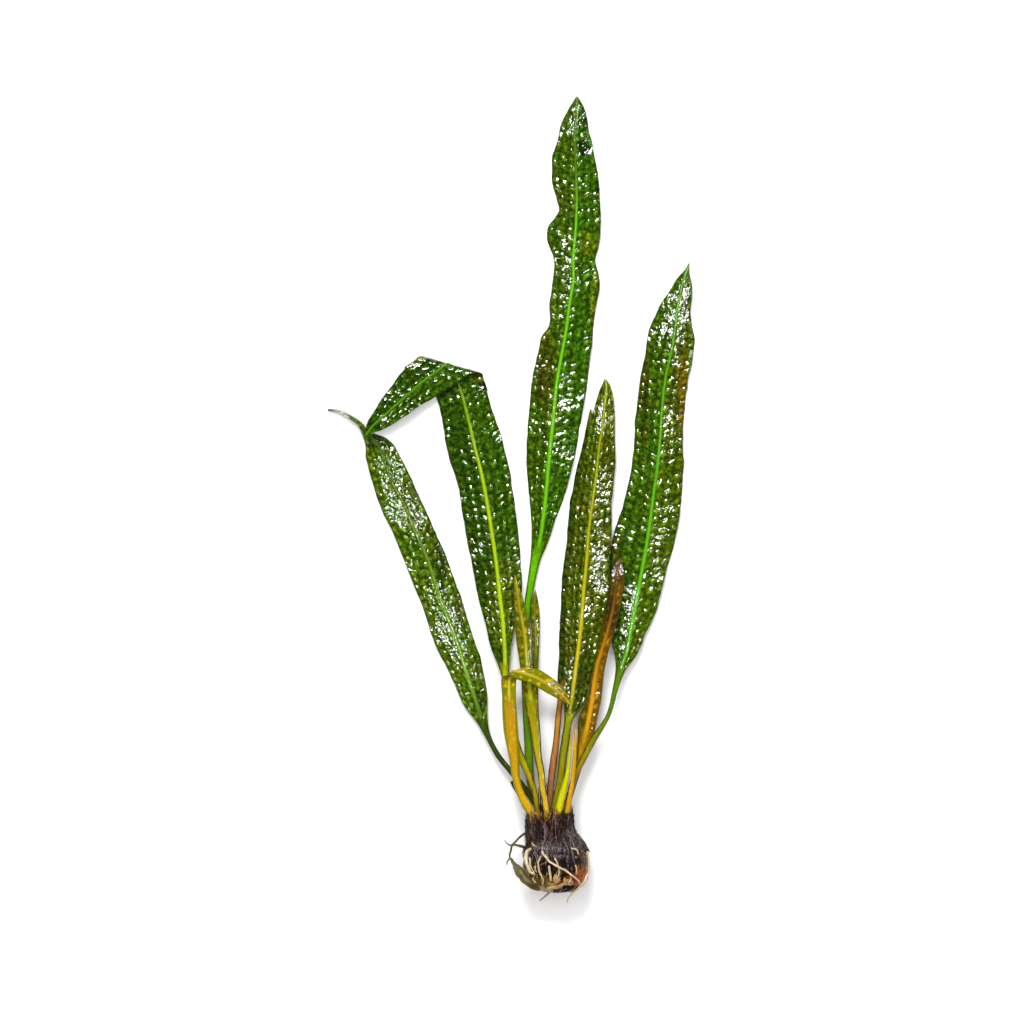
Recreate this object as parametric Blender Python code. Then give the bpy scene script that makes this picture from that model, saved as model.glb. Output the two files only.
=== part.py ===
"""A bare-root aquarium plant lying on its back: tuber, fibre collar, leaves, young shoots and roots.

Lengths are in millimetres and are turned to metres where a mesh or curve is made. The plant grows
along +Y, its right side is +X, and it rests on the plane Z = 0 with the tuber's small flat at the
origin.
"""

from dataclasses import dataclass
from math import cos, pi, sin

import bmesh
import bpy
import numpy as np

MM = 0.001
GAP = 0.3

TUBER_RADIUS = 13.2
TUBER_CENTRE_Z = 13.0
TUBER_UP = 9.4
TUBER_DOWN = 10.5
TUBER_CROWN_Y = 8.7
TUBER_SQUARENESS = 2.6
TUBER_LUMP = 0.25

COLLAR_CENTRE = (-2.6, 13.0)
COLLAR_RADIUS = 9.1
COLLAR_TOP_Y = 20.9
COLLAR_FIBRES = 26
COLLAR_RIDGE = 0.035
COLLAR_LIFT = 0.4
SKIRT_TOP_Y = 8.3
SKIRT_THICKNESS = 0.55
SKIRT_SIDE_Y = 6.8
SKIRT_FRONT_Y = 0.5
FLARE_Y = (6.8, 8.2, 10.0, 11.6, 13.2, 15.0, 17.0)
FLARE_REACH = (12.4, 11.7, 10.5, 9.1, 7.8, 7.1, 6.6)

BLADE_HALF_THICKNESS = 0.33
MIDRIB_HEIGHT = 0.85
BULLA_HEIGHT = 0.3
BLADE_STEP = 3.5
STALK_STEP = 8.0
SHEAR_REACH = 18.0
FLAT_REACH = 12.0
CROWN_REACH = 6.0
TABLE_Z = 0.0

WIDE_SECTION = {"angles": (0.0, 22.5, 45.0, 67.5), "fractions": (1.0, 0.7, 0.38, 0.0)}
NARROW_SECTION = {"angles": (0.0, 45.0), "fractions": (1.0, 0.3)}


@dataclass
class Fold:
    """A crease across a leaf: the leaf beyond it is bent back over the rest."""

    point: tuple
    along: tuple
    radius: float
    height: float


@dataclass
class Leaf:
    """One leaf with its petiole.

    stalk holds (x, y, z, half width) from the crown to the foot of the blade, and blade holds
    (x, y, z, left half width, right half width) from there to the tip.
    """

    name: str
    colour: tuple
    stalk: list
    blade: list
    stalk_depth: float = 1.3
    rib: float = 1.1
    section: dict = None
    bulla: float = BULLA_HEIGHT
    arch: float = -0.5
    wave: float = 0.9
    wave_length: float = 26.0
    phase: float = 0.0
    step: float = BLADE_STEP
    stalk_step: float = STALK_STEP
    roll: tuple = ()
    fold: Fold = None


LEAVES = [
    Leaf(
        "tall_leaf", (0.04, 0.14, 0.01),
        stalk=[(-6.4, 21.2, 6.4, 1.4), (-8.8, 26.0, 6.4, 1.4), (-10.4, 35.6, 6.5, 1.7),
               (-11.1, 49.2, 6.1, 1.7), (-12.0, 63.6, 5.2, 1.5), (-12.4, 86.0, 3.7, 1.5),
               (-11.2, 104.4, 2.6, 1.5), (-9.4, 116.0, 2.4, 1.7)],
        blade=[(-8.1, 122.4, 2.3, 2.2, 2.0), (-6.4, 130.0, 2.2, 3.5, 3.4),
               (-5.2, 138.0, 2.1, 4.7, 4.7), (-4.2, 146.0, 2.0, 6.5, 6.8),
               (-2.8, 162.0, 2.0, 9.2, 9.9), (-1.2, 178.0, 2.0, 9.9, 11.1),
               (0.5, 194.0, 2.0, 9.4, 12.1), (3.3, 210.0, 2.0, 7.4, 11.1),
               (5.4, 224.0, 2.0, 8.2, 10.6), (6.9, 234.0, 2.0, 8.0, 10.6),
               (6.9, 242.0, 2.0, 8.0, 8.9), (7.5, 250.0, 2.1, 11.4, 9.9),
               (8.0, 256.5, 2.2, 10.2, 9.8), (8.2, 261.5, 2.2, 7.0, 9.5),
               (8.3, 266.0, 2.1, 7.9, 9.2), (8.1, 274.0, 2.0, 9.6, 8.8),
               (7.7, 282.0, 2.0, 9.2, 8.0), (7.5, 290.0, 2.0, 7.0, 6.7),
               (7.9, 298.0, 2.1, 5.0, 4.7), (8.2, 303.6, 2.2, 2.4, 2.8),
               (8.4, 307.4, 2.2, 0.3, 0.3)],
        rib=1.3, wave_length=24.0, phase=0.6,
    ),
    Leaf(
        "folded_leaf", (0.05, 0.12, 0.01),
        stalk=[(-7.4, 21.2, 12.3, 1.1), (-8.6, 29.6, 12.4, 1.1), (-10.4, 35.0, 12.2, 1.4),
               (-13.0, 41.0, 11.7, 1.5), (-15.5, 47.4, 10.9, 1.5), (-18.0, 60.0, 9.0, 1.5)],
        blade=[(-20.2, 78.4, 6.4, 2.4, 1.6), (-20.5, 86.8, 5.3, 5.4, 2.5),
               (-21.2, 96.8, 4.2, 7.1, 5.0), (-22.5, 108.0, 3.3, 8.6, 8.8),
               (-23.8, 120.0, 2.7, 9.7, 9.7), (-25.2, 130.0, 2.4, 10.4, 10.4),
               (-27.2, 142.8, 2.2, 10.4, 10.8), (-29.6, 155.6, 2.2, 10.1, 11.3),
               (-32.6, 167.8, 2.2, 11.1, 11.2), (-35.6, 180.6, 2.2, 10.2, 10.2),
               (-39.0, 192.6, 2.2, 9.8, 9.9), (-41.0, 197.6, 2.2, 9.2, 9.9),
               (-43.4, 202.6, 2.2, 9.0, 10.2), (-45.1, 207.0, 2.2, 8.9, 8.6),
               (-47.8, 213.0, 2.1, 8.3, 8.2), (-50.1, 219.9, 2.0, 7.8, 6.5),
               (-52.0, 225.5, 2.0, 6.4, 6.4), (-53.5, 230.4, 1.9, 5.3, 5.3),
               (-55.0, 234.9, 1.8, 3.8, 4.4), (-56.1, 238.8, 1.7, 2.7, 3.1),
               (-56.7, 243.5, 1.7, 0.3, 0.3)],
        rib=1.0, phase=2.1,
        fold=Fold(point=(-40.4, 197.6), along=(0.965, -0.262), radius=1.8, height=2.2),
    ),
    Leaf(
        "left_leaf", (0.03, 0.11, 0.01),
        stalk=[(-7.6, 21.2, 9.3, 1.2), (-8.8, 25.0, 9.3, 1.25), (-10.8, 28.5, 9.2, 1.25),
               (-13.4, 31.8, 8.8, 1.25), (-17.9, 37.4, 7.6, 1.15), (-23.2, 44.0, 6.0, 1.1),
               (-27.2, 51.6, 4.8, 1.2)],
        blade=[(-29.4, 57.4, 4.0, 2.2, 2.2), (-31.6, 64.4, 3.2, 4.9, 4.5),
               (-34.9, 74.0, 2.5, 6.0, 6.6), (-39.8, 90.0, 2.1, 8.5, 6.8),
               (-46.4, 106.8, 2.0, 7.9, 7.9), (-52.2, 124.4, 2.0, 9.0, 7.3),
               (-56.4, 133.6, 2.0, 8.5, 7.2), (-60.8, 144.4, 2.0, 9.1, 6.9),
               (-65.0, 152.0, 2.0, 8.0, 7.6), (-68.2, 160.0, 2.1, 6.9, 6.9),
               (-71.4, 168.0, 2.3, 5.6, 5.1), (-75.4, 172.8, 2.5, 2.3, 2.3),
               (-77.9, 176.3, 2.4, 1.35, 1.35), (-82.4, 179.6, 2.1, 1.2, 1.2),
               (-86.6, 181.6, 1.7, 0.8, 0.8), (-91.2, 182.4, 1.4, 0.25, 0.25)],
        rib=0.9, arch=-0.7, phase=1.0,
        roll=((0.80, 0.0), (0.90, 70.0), (1.0, 80.0)),
    ),
    Leaf(
        "middle_leaf", (0.05, 0.11, 0.01),
        stalk=[(-0.8, 21.2, 14.5, 1.6), (-0.2, 26.0, 14.2, 1.6), (1.4, 32.8, 13.4, 1.6),
               (2.7, 43.2, 12.0, 1.7), (3.9, 51.2, 10.8, 1.7)],
        blade=[(5.0, 58.4, 9.9, 1.8, 1.8), (6.1, 65.6, 9.2, 3.2, 4.6),
               (7.2, 73.6, 8.5, 4.2, 6.2), (8.4, 82.8, 7.8, 5.2, 7.4),
               (9.8, 94.0, 7.1, 6.3, 8.2), (11.0, 109.2, 6.3, 7.0, 8.9),
               (12.2, 122.0, 5.8, 6.6, 9.0), (13.2, 134.8, 5.5, 6.2, 9.1),
               (14.9, 147.6, 5.2, 6.5, 7.5), (16.0, 155.6, 5.0, 6.7, 7.2),
               (17.4, 168.4, 4.6, 5.4, 6.5), (18.4, 174.8, 4.3, 5.0, 5.1),
               (19.1, 181.2, 3.9, 4.1, 4.4), (19.9, 187.6, 3.3, 3.2, 3.0),
               (20.1, 191.6, 2.8, 2.0, 1.6), (19.6, 194.4, 2.5, 0.3, 0.3)],
        rib=0.9, wave=0.6, wave_length=22.0, phase=0.2,
    ),
    Leaf(
        "right_leaf", (0.05, 0.13, 0.01),
        stalk=[(4.6, 21.2, 13.2, 1.15), (6.1, 32.0, 12.8, 1.1), (7.2, 35.6, 12.6, 1.15),
               (10.0, 41.2, 12.2, 1.3), (14.6, 50.0, 11.6, 1.3), (20.8, 60.0, 10.0, 0.95),
               (23.6, 70.1, 8.0, 1.15)],
        blade=[(24.8, 74.7, 7.1, 1.5, 1.5), (26.0, 79.2, 6.2, 2.3, 2.3),
               (28.2, 85.0, 5.2, 5.8, 4.1), (29.8, 94.0, 4.2, 8.0, 6.5),
               (31.4, 102.4, 3.5, 10.0, 8.6), (33.2, 111.6, 2.9, 12.0, 9.2),
               (36.0, 126.8, 2.4, 13.6, 10.4), (37.4, 135.6, 2.2, 13.0, 11.1),
               (38.7, 146.0, 2.0, 11.0, 11.2), (40.6, 160.0, 2.0, 10.1, 10.5),
               (41.6, 170.8, 2.0, 10.3, 9.1), (42.4, 182.8, 2.0, 10.3, 9.0),
               (43.8, 194.8, 2.0, 9.8, 8.9), (46.4, 206.8, 2.0, 10.4, 8.8),
               (47.2, 211.6, 2.0, 10.3, 8.6), (47.9, 216.8, 2.0, 9.4, 6.4),
               (48.4, 222.0, 2.1, 7.6, 5.6), (49.6, 228.0, 2.3, 4.7, 4.8),
               (51.0, 234.0, 2.5, 2.6, 3.4), (52.4, 238.0, 2.6, 0.8, 0.9),
               (53.2, 240.6, 2.7, 0.3, 0.3)],
        rib=1.2, wave_length=28.0, phase=3.0,
    ),
    Leaf(
        "hidden_leaf", (0.06, 0.08, 0.02),
        stalk=[(-2.6, 21.2, 10.0, 1.2), (-2.3, 30.0, 9.0, 1.4), (-0.9, 42.0, 7.4, 1.5),
               (0.1, 50.0, 6.4, 1.25), (0.7, 57.0, 5.5, 1.25)],
        blade=[(1.6, 66.0, 4.3, 1.1, 1.4), (3.6, 74.0, 3.4, 3.1, 2.6), (5.6, 84.0, 2.7, 4.4, 4.5),
               (7.2, 96.0, 2.2, 5.9, 6.0), (8.4, 110.0, 2.0, 6.2, 6.5), (9.6, 126.0, 1.9, 5.8, 6.5),
               (11.2, 142.0, 1.9, 5.9, 6.0), (12.4, 156.0, 1.9, 4.7, 5.3),
               (13.2, 168.0, 1.9, 2.6, 4.2), (13.6, 176.0, 1.9, 1.4, 2.4),
               (13.8, 182.3, 1.8, 0.25, 0.25)],
        stalk_depth=1.1, rib=0.9, section=NARROW_SECTION, bulla=0.0, wave=0.4, step=6.5,
    ),
    Leaf(
        "amber_leaf", (0.25, 0.12, 0.01),
        stalk=[(2.8, 21.2, 8.9, 1.2), (4.8, 26.0, 8.7, 1.3), (7.2, 34.0, 8.4, 1.5),
               (9.5, 42.0, 8.3, 1.8)],
        blade=[(11.2, 50.0, 8.4, 2.8, 3.2), (12.9, 58.0, 8.6, 4.0, 3.4),
               (14.3, 66.0, 8.9, 1.9, 3.6), (16.0, 78.0, 9.3, 1.6, 3.3),
               (20.4, 93.2, 9.7, 2.5, 2.5), (22.4, 101.2, 9.7, 2.7, 2.7),
               (23.8, 110.0, 9.6, 2.8, 2.8), (24.6, 118.0, 9.3, 2.2, 2.4),
               (25.6, 123.2, 9.1, 0.3, 0.3)],
        stalk_depth=1.1, rib=0.9, section=NARROW_SECTION, bulla=0.0, arch=0.3, wave=0.2, step=6.0,
    ),
    Leaf(
        "curled_leaf", (0.22, 0.16, 0.01),
        stalk=[(-9.6, 21.2, 16.0, 2.6), (-12.0, 25.0, 16.2, 1.9), (-14.4, 29.6, 16.5, 1.6),
               (-16.0, 35.6, 16.6, 1.6), (-16.6, 42.4, 16.5, 2.0), (-17.3, 48.4, 16.3, 2.55),
               (-18.0, 54.0, 16.0, 2.9)],
        blade=[(-18.5, 60.0, 15.7, 2.9, 2.9), (-18.8, 68.0, 15.4, 2.8, 2.8),
               (-18.6, 74.9, 15.2, 3.0, 3.0), (-16.2, 82.0, 15.4, 3.1, 3.1),
               (-14.0, 88.0, 15.9, 3.2, 3.2), (-13.1, 94.3, 17.0, 3.1, 3.1),
               (-12.9, 100.0, 18.2, 2.2, 2.2), (-13.6, 105.4, 19.6, 0.3, 0.3)],
        stalk_depth=1.2, rib=0.8, section=NARROW_SECTION, bulla=0.0, arch=-0.4, wave=0.1, step=4.5,
        fold=Fold(point=(-18.6, 74.9), along=(0.904, 0.428), radius=1.8, height=15.2),
    ),
    Leaf(
        "narrow_leaf", (0.16, 0.18, 0.01),
        stalk=[(-3.6, 21.2, 19.0, 1.3), (-4.4, 26.0, 18.4, 1.3), (-5.5, 32.0, 17.4, 1.35),
               (-6.1, 38.0, 16.2, 1.45), (-7.3, 44.0, 15.1, 1.55), (-7.9, 50.0, 14.0, 1.9)],
        blade=[(-9.3, 59.4, 12.2, 2.4, 2.6), (-10.3, 68.6, 10.9, 2.9, 3.0),
               (-11.7, 81.2, 9.4, 2.9, 2.2), (-12.3, 90.0, 8.5, 3.6, 2.4),
               (-14.4, 102.0, 7.6, 2.3, 2.4), (-15.6, 110.0, 7.2, 1.3, 1.3),
               (-16.4, 116.0, 6.9, 0.25, 0.25)],
        stalk_depth=1.0, rib=0.7, section=NARROW_SECTION, bulla=0.0, arch=0.5, wave=0.1, step=6.5,
    ),
    Leaf(
        "short_leaf", (0.12, 0.12, 0.02),
        stalk=[(-3.8, 21.2, 4.8, 1.0), (-5.2, 32.0, 4.8, 1.0), (-6.8, 46.0, 4.9, 0.9),
               (-7.8, 62.0, 5.0, 0.9)],
        blade=[(-8.2, 77.2, 5.0, 1.1, 1.1), (-8.1, 90.0, 5.1, 1.5, 1.5), (-8.4, 98.0, 5.2, 1.8, 1.9),
               (-8.5, 104.0, 5.3, 1.5, 1.6), (-8.2, 110.0, 5.4, 0.25, 0.25)],
        stalk_depth=0.8, rib=0.6, section=NARROW_SECTION, bulla=0.0, arch=0.3, wave=0.1, step=7.0,
    ),
    Leaf(
        "green_shoot", (0.35, 0.40, 0.01),
        stalk=[(0.7, 21.2, 19.6, 1.8), (1.7, 26.0, 19.5, 1.6), (3.8, 34.0, 19.2, 1.2),
               (4.6, 38.0, 18.8, 0.85)],
        blade=[(5.3, 44.0, 18.0, 0.6, 0.6), (6.0, 50.0, 17.0, 0.45, 0.45),
               (6.4, 54.8, 16.0, 0.15, 0.15)],
        stalk_depth=1.1, rib=0.4, section=NARROW_SECTION, bulla=0.0, arch=0.0, wave=0.0, step=6.0,
    ),
    Leaf(
        "amber_shoot", (0.35, 0.22, 0.01),
        stalk=[(4.4, 21.2, 17.6, 1.2), (5.2, 26.8, 17.6, 1.0), (6.4, 33.6, 17.7, 0.85),
               (7.2, 41.2, 17.3, 0.8)],
        blade=[(7.6, 49.2, 16.5, 0.6, 0.6), (7.7, 58.2, 15.2, 0.15, 0.15)],
        stalk_depth=0.7, rib=0.3, section=NARROW_SECTION, bulla=0.0, arch=0.0, wave=0.0, step=6.0,
    ),
    Leaf(
        "petiole_stub", (0.03, 0.05, 0.01),
        stalk=[(-10.6, 21.6, 12.2, 1.2), (-12.8, 25.8, 12.2, 1.4), (-15.0, 30.0, 12.0, 1.4)],
        blade=[(-16.6, 32.6, 11.8, 1.3, 1.3), (-17.6, 34.0, 11.6, 0.9, 0.9)],
        stalk_depth=0.9, rib=0.3, section=NARROW_SECTION, bulla=0.0, arch=0.0, wave=0.0,
        step=1.5, stalk_step=4.0,
    ),
]


def smooth(low, high, value):
    """Rises smoothly from 0 at low to 1 at high."""
    share = np.clip((np.asarray(value, float) - low) / (high - low), 0.0, 1.0)
    return share * share * (3.0 - 2.0 * share)


def through(knots, values, at):
    """Cubic curve through the values at the knots, read at the distances given."""
    knots = np.asarray(knots, float)
    values = np.asarray(values, float)
    slopes = np.gradient(values, knots, axis=0)
    first = np.clip(np.searchsorted(knots, at, side="right") - 1, 0, len(knots) - 2)
    span = (knots[first + 1] - knots[first])[:, None]
    share = ((at - knots[first])[:, None]) / span
    start, end = values[first], values[first + 1]
    rise = end - start
    ease = share * share * (3.0 - 2.0 * share)
    bend_in = share * (1.0 - share) ** 2 * (slopes[first] * span)
    bend_out = share * share * (share - 1.0) * (slopes[first + 1] * span)
    return start + rise * ease + bend_in + bend_out


def tuber_reach(y):
    """The tuber's radius about its growing axis at the height y along it."""
    length = np.where(np.asarray(y) > 0.0, TUBER_UP, TUBER_DOWN)
    share = np.clip(np.abs(y) / length, 0.0, 1.0)
    return TUBER_RADIUS * (1.0 - share**TUBER_SQUARENESS) ** (1.0 / TUBER_SQUARENESS)


def tuber_top(radius):
    """How far up the growing axis the tuber reaches at a distance from that axis."""
    share = np.clip(np.asarray(radius) / TUBER_RADIUS, 0.0, 1.0)
    return TUBER_UP * (1.0 - share**TUBER_SQUARENESS) ** (1.0 / TUBER_SQUARENESS)


def skirt_reach(y, over):
    """The skirt's radius about the growing axis: over above the tuber's skin, or flared past it."""
    return np.maximum(tuber_reach(y) + TUBER_LUMP + over, np.interp(y, FLARE_Y, FLARE_REACH))


def over_tuber(x, y, lift):
    """A point over the tuber's upper side at x, y, standing lift off the skin or the skirt."""
    skin = float(tuber_reach(y)) + TUBER_LUMP
    skirt = float(skirt_reach(y, COLLAR_LIFT + SKIRT_THICKNESS)) - skin
    reach = skin + skirt * float(smooth(-2.5, 0.0, y)) + GAP + lift
    return (x, y, TUBER_CENTRE_Z + max(reach * reach - x * x, 0.0) ** 0.5)


def stations(leaf, knots):
    """Distances along the leaf at which it has a section: coarse on the stalk, fine in a fold."""
    foot = knots[len(leaf.stalk)]
    end = knots[-1]
    stalk = np.linspace(0.0, foot, max(3, round(foot / leaf.stalk_step) + 1))
    blade = np.linspace(foot, end, max(2, round((end - foot) / leaf.step) + 1))
    at = np.concatenate([stalk, blade[1:]])
    if leaf.fold:
        crossing, slant = crease_crossing(leaf, knots)
        bend = crossing + np.linspace(0.0, pi, 5) * leaf.fold.radius / slant
        at = at[(at < bend[0] - 1.2) | (at > bend[-1] + 1.2)]
        at = np.sort(np.concatenate([at, bend]))
    return at


def crease_frame(fold):
    """Unit vectors along the crease and across it, towards the tip."""
    along = np.array(fold.along) / np.hypot(*fold.along)
    across = np.array([-along[1], along[0]])
    return along, across


def crease_crossing(leaf, knots):
    """Where the midrib meets the crease, and how squarely it crosses it."""
    points = np.array([p[:2] for p in leaf.stalk + leaf.blade])
    _, across = crease_frame(leaf.fold)
    side = (points - np.array(leaf.fold.point)) @ across
    nearest = int(np.argmin(np.abs(side)))
    heading = points[nearest + 1] - points[nearest]
    slant = float(heading @ across) / np.hypot(*heading)
    return knots[nearest] - side[nearest] / slant, slant


def sheared(side, along, share):
    """Turns the sideways direction of each section towards one line, keeping the leaf's width."""
    turned = side * (1.0 - share[:, None]) + np.array(along) * share[:, None]
    return turned / np.sum(turned * side, axis=1)[:, None]


def section_template(leaf, half, blade_share):
    """Sideways places and heights of one half of the section, from the margin to the midrib."""
    angles = np.radians(leaf.section["angles"])
    fractions = np.array(leaf.section["fractions"])
    rib = np.minimum(leaf.rib, 0.6 * half)[:, None]
    half = half[:, None]
    share = blade_share[:, None]
    stalk_place = half * np.cos(angles)
    stalk_height = leaf.stalk_depth * np.sin(angles) * np.ones_like(half)
    blade_place = rib + (half - rib) * fractions
    thick = np.where(fractions == 1.0, 0.0, BLADE_HALF_THICKNESS)
    thick = np.where(fractions == 0.0, BLADE_HALF_THICKNESS + 0.15, thick) * np.ones_like(half)
    place = stalk_place * (1.0 - share) + blade_place * share
    height = stalk_height * (1.0 - share) + thick * share
    return place, height


def fold_over(points, fold):
    """Wraps what lies beyond the crease round a small cylinder and back over the leaf."""
    along, across = crease_frame(fold)
    flat = points[..., :2] - np.array(fold.point)
    lengthwise = flat @ along
    beyond = flat @ across
    lift = points[..., 2] - fold.height
    turn = np.clip(beyond / fold.radius, 0.0, pi)
    past = np.maximum(beyond - pi * fold.radius, 0.0)
    before = np.minimum(beyond, 0.0)
    arm = fold.radius - lift
    place = before + arm * np.sin(turn) - past
    height = fold.height + fold.radius - arm * np.cos(turn)
    bent = np.array(fold.point) + lengthwise[..., None] * along + place[..., None] * across
    return np.concatenate([bent, height[..., None]], axis=-1)


def leaf_rings(leaf):
    """Closed sections of a leaf from crown to tip: an ellipse in the petiole, a ribbed blade above."""
    leaf.section = leaf.section or WIDE_SECTION
    path = [(x, y, z, half, half) for x, y, z, half in leaf.stalk] + leaf.blade
    path = np.array(path, float)
    knots = np.concatenate([[0.0], np.cumsum(np.hypot(*np.diff(path[:, :2], axis=0).T))])
    at = stations(leaf, knots)
    read = through(knots, path, at)
    centre, left, right = read[:, :3], np.maximum(read[:, 3], 0.12), np.maximum(read[:, 4], 0.12)

    ahead = np.gradient(centre[:, :2], at, axis=0)
    ahead /= np.hypot(*ahead.T)[:, None]
    side = np.stack([ahead[:, 1], -ahead[:, 0]], axis=1)
    side = sheared(side, (1.0, 0.0), 1.0 - smooth(0.0, CROWN_REACH, at))
    crimp = 1.0
    if leaf.fold:
        crossing, slant = crease_crossing(leaf, knots)
        reach = pi * leaf.fold.radius / slant
        away = np.abs(at - crossing - 0.5 * reach)
        side = sheared(side, crease_frame(leaf.fold)[0], 1.0 - smooth(reach, SHEAR_REACH, away))
        crimp = smooth(0.5 * reach, FLAT_REACH, away)[:, None]

    foot = knots[len(leaf.stalk)]
    stalk_half = leaf.stalk[-1][3]
    wide = smooth(stalk_half * 1.05, stalk_half + 2.2, np.maximum(left, right))
    blade_share = np.where(at > foot - 6.0, np.maximum(wide, smooth(foot, foot + 12.0, at)), 0.0)
    taper = np.clip(np.minimum(left, right) / 1.5, 0.12, 1.0)
    places, heights = [], []
    for sign, half in ((-1.0, left), (1.0, right)):
        place, height = section_template(leaf, half, blade_share)
        places.append(sign * place)
        heights.append(height * taper[:, None])
    rib_top = (leaf.stalk_depth * (1.0 - blade_share) + MIDRIB_HEIGHT * blade_share) * taper
    rib_low = (leaf.stalk_depth * (1.0 - blade_share) + 0.75 * MIDRIB_HEIGHT * blade_share) * taper
    low = (0.7 * leaf.stalk_depth * (1.0 - blade_share) + BLADE_HALF_THICKNESS * blade_share) * taper

    columns = places[0].shape[1]
    bumps = leaf.bulla * blade_share * smooth(2.5, 5.0, np.minimum(left, right))
    for column in range(1, columns - 1):
        flip = (-1.0) ** (np.arange(len(at)) + column)
        heights[0][:, column] += bumps * flip
        heights[1][:, column] -= bumps * flip

    across = [places[0], np.zeros((len(at), 1)), places[1][:, ::-1]]
    across += [(0.6 * right)[:, None], np.zeros((len(at), 1)), (-0.6 * left)[:, None]]
    across = np.concatenate(across, axis=1)
    up = [heights[0], rib_top[:, None], heights[1][:, ::-1], -low[:, None], -rib_low[:, None]]
    up = np.concatenate(up + [-low[:, None]], axis=1)

    half = np.where(across < 0.0, left[:, None], right[:, None])
    edge = (np.abs(across) / half) ** 2 * blade_share[:, None] * crimp
    swing = 2.0 * pi * at[:, None] / leaf.wave_length + leaf.phase + np.where(across < 0.0, 0.0, 1.9)
    up = up + edge * (leaf.arch + leaf.wave * np.sin(swing) * np.clip(half / 8.0, 0.0, 1.0))

    roll = np.zeros(len(at))
    if leaf.roll:
        shares, degrees = zip(*leaf.roll)
        blade_place = (at - foot) / (knots[-1] - foot)
        roll = np.radians(np.interp(blade_place, shares, degrees))
    turn_cos, turn_sin = np.cos(roll)[:, None], np.sin(roll)[:, None]
    sideways = across * turn_cos + up * turn_sin
    upward = up * turn_cos - across * turn_sin

    points = np.empty(across.shape + (3,))
    points[..., :2] = centre[:, None, :2] + side[:, None, :] * sideways[..., None]
    points[..., 2] = centre[:, None, 2] + upward
    top_count = 2 * columns + 1
    floor = np.full(across.shape[1], TABLE_Z)
    floor[1 : top_count - 1] += 2.0 * BLADE_HALF_THICKNESS
    floor[[0, top_count - 1]] += 0.5 * BLADE_HALF_THICKNESS
    points[..., 2] = np.maximum(points[..., 2], floor)
    return fold_over(points, leaf.fold) if leaf.fold else points


def loft(name, rings):
    """A closed mesh through rings of the same number of points, capped at both ends."""
    count, around = rings.shape[:2]
    index = np.arange(count * around).reshape(count, around)
    here, there = index[:-1], index[1:]
    quads = np.stack([here, np.roll(here, -1, 1), np.roll(there, -1, 1), there], axis=-1)
    faces = quads.reshape(-1, 4).tolist()
    faces.append(index[0][::-1].tolist())
    faces.append(index[-1].tolist())
    mesh = bpy.data.meshes.new(name)
    mesh.from_pydata((rings.reshape(-1, 3) * MM).tolist(), [], faces)
    return outward(mesh)


def outward(mesh):
    """Turns every face of a closed mesh outwards."""
    work = bmesh.new()
    work.from_mesh(mesh)
    bmesh.ops.recalc_face_normals(work, faces=work.faces)
    work.to_mesh(mesh)
    work.free()
    mesh.shade_smooth()
    mesh.set_sharp_from_angle(angle=pi / 4.0)
    return mesh


def add(name, data, collection, colour, roughness):
    """Puts a mesh or curve in the scene under its own name with its own material."""
    thing = bpy.data.objects.new(name, data)
    collection.objects.link(thing)
    material = bpy.data.materials.new(name + "_material")
    material.use_nodes = True
    shader = material.node_tree.nodes["Principled BSDF"]
    shader.inputs["Base Color"].default_value = (*colour, 1.0)
    shader.inputs["Roughness"].default_value = roughness
    shader.inputs["Metallic"].default_value = 0.0
    data.materials.append(material)
    return thing


def slice_off(work, point, outward_normal):
    """Cuts away what lies past a plane and closes the cut with one flat face."""
    everything = work.verts[:] + work.edges[:] + work.faces[:]
    cut = bmesh.ops.bisect_plane(
        work, geom=everything, plane_co=point, plane_no=outward_normal, clear_outer=True
    )
    rim = [part for part in cut["geom_cut"] if isinstance(part, bmesh.types.BMEdge)]
    bmesh.ops.contextual_create(work, geom=rim)


def build_tuber(collection):
    """A rounded, slightly lumpy corm with a small flat where it rests."""
    work = bmesh.new()
    bmesh.ops.create_uvsphere(work, u_segments=20, v_segments=12, radius=1.0)
    for vertex in work.verts:
        x, up, z = vertex.co.x, vertex.co.z, vertex.co.y
        radial = (x * x + z * z) ** 0.5
        p = TUBER_SQUARENESS
        stretch = 1.0 / (radial**p + abs(up) ** p) ** (1.0 / p)
        lump = sin(5.0 * x + 1.3) * sin(4.0 * z + 0.4) * cos(6.0 * up)
        fade = 1.0 - float(smooth(0.1, 0.5, up))
        reach = stretch + lump * fade * TUBER_LUMP / TUBER_RADIUS
        length = TUBER_UP if up > 0.0 else TUBER_DOWN
        height = TUBER_CENTRE_Z + TUBER_RADIUS * z * reach
        vertex.co = (TUBER_RADIUS * x * reach, length * up * reach, height)
    slice_off(work, (0.0, 0.0, 0.0), (0.0, 0.0, -1.0))
    slice_off(work, (0.0, TUBER_CROWN_Y, 0.0), (0.0, 1.0, 0.0))
    bmesh.ops.scale(work, vec=(MM, MM, MM), verts=work.verts)
    mesh = bpy.data.meshes.new("tuber")
    work.to_mesh(mesh)
    work.free()
    return add("tuber", outward(mesh), collection, (0.20, 0.08, 0.02), 0.5)


def collar_ring(turn, ridge, y, over):
    """One ring of the collar's outside at y: the neck's circle, or the skirt where that is wider."""
    neck = COLLAR_RADIUS * ridge
    x = COLLAR_CENTRE[0] + neck * np.cos(turn)
    z = COLLAR_CENTRE[1] + neck * np.sin(turn)
    reach = skirt_reach(y, over)
    past = reach > np.hypot(x, z - TUBER_CENTRE_Z)
    x = np.where(past, reach * np.cos(turn), x)
    z = np.where(past, TUBER_CENTRE_Z + reach * np.sin(turn), z)
    return np.stack([x, y + np.zeros_like(turn), z], axis=1)


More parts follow.
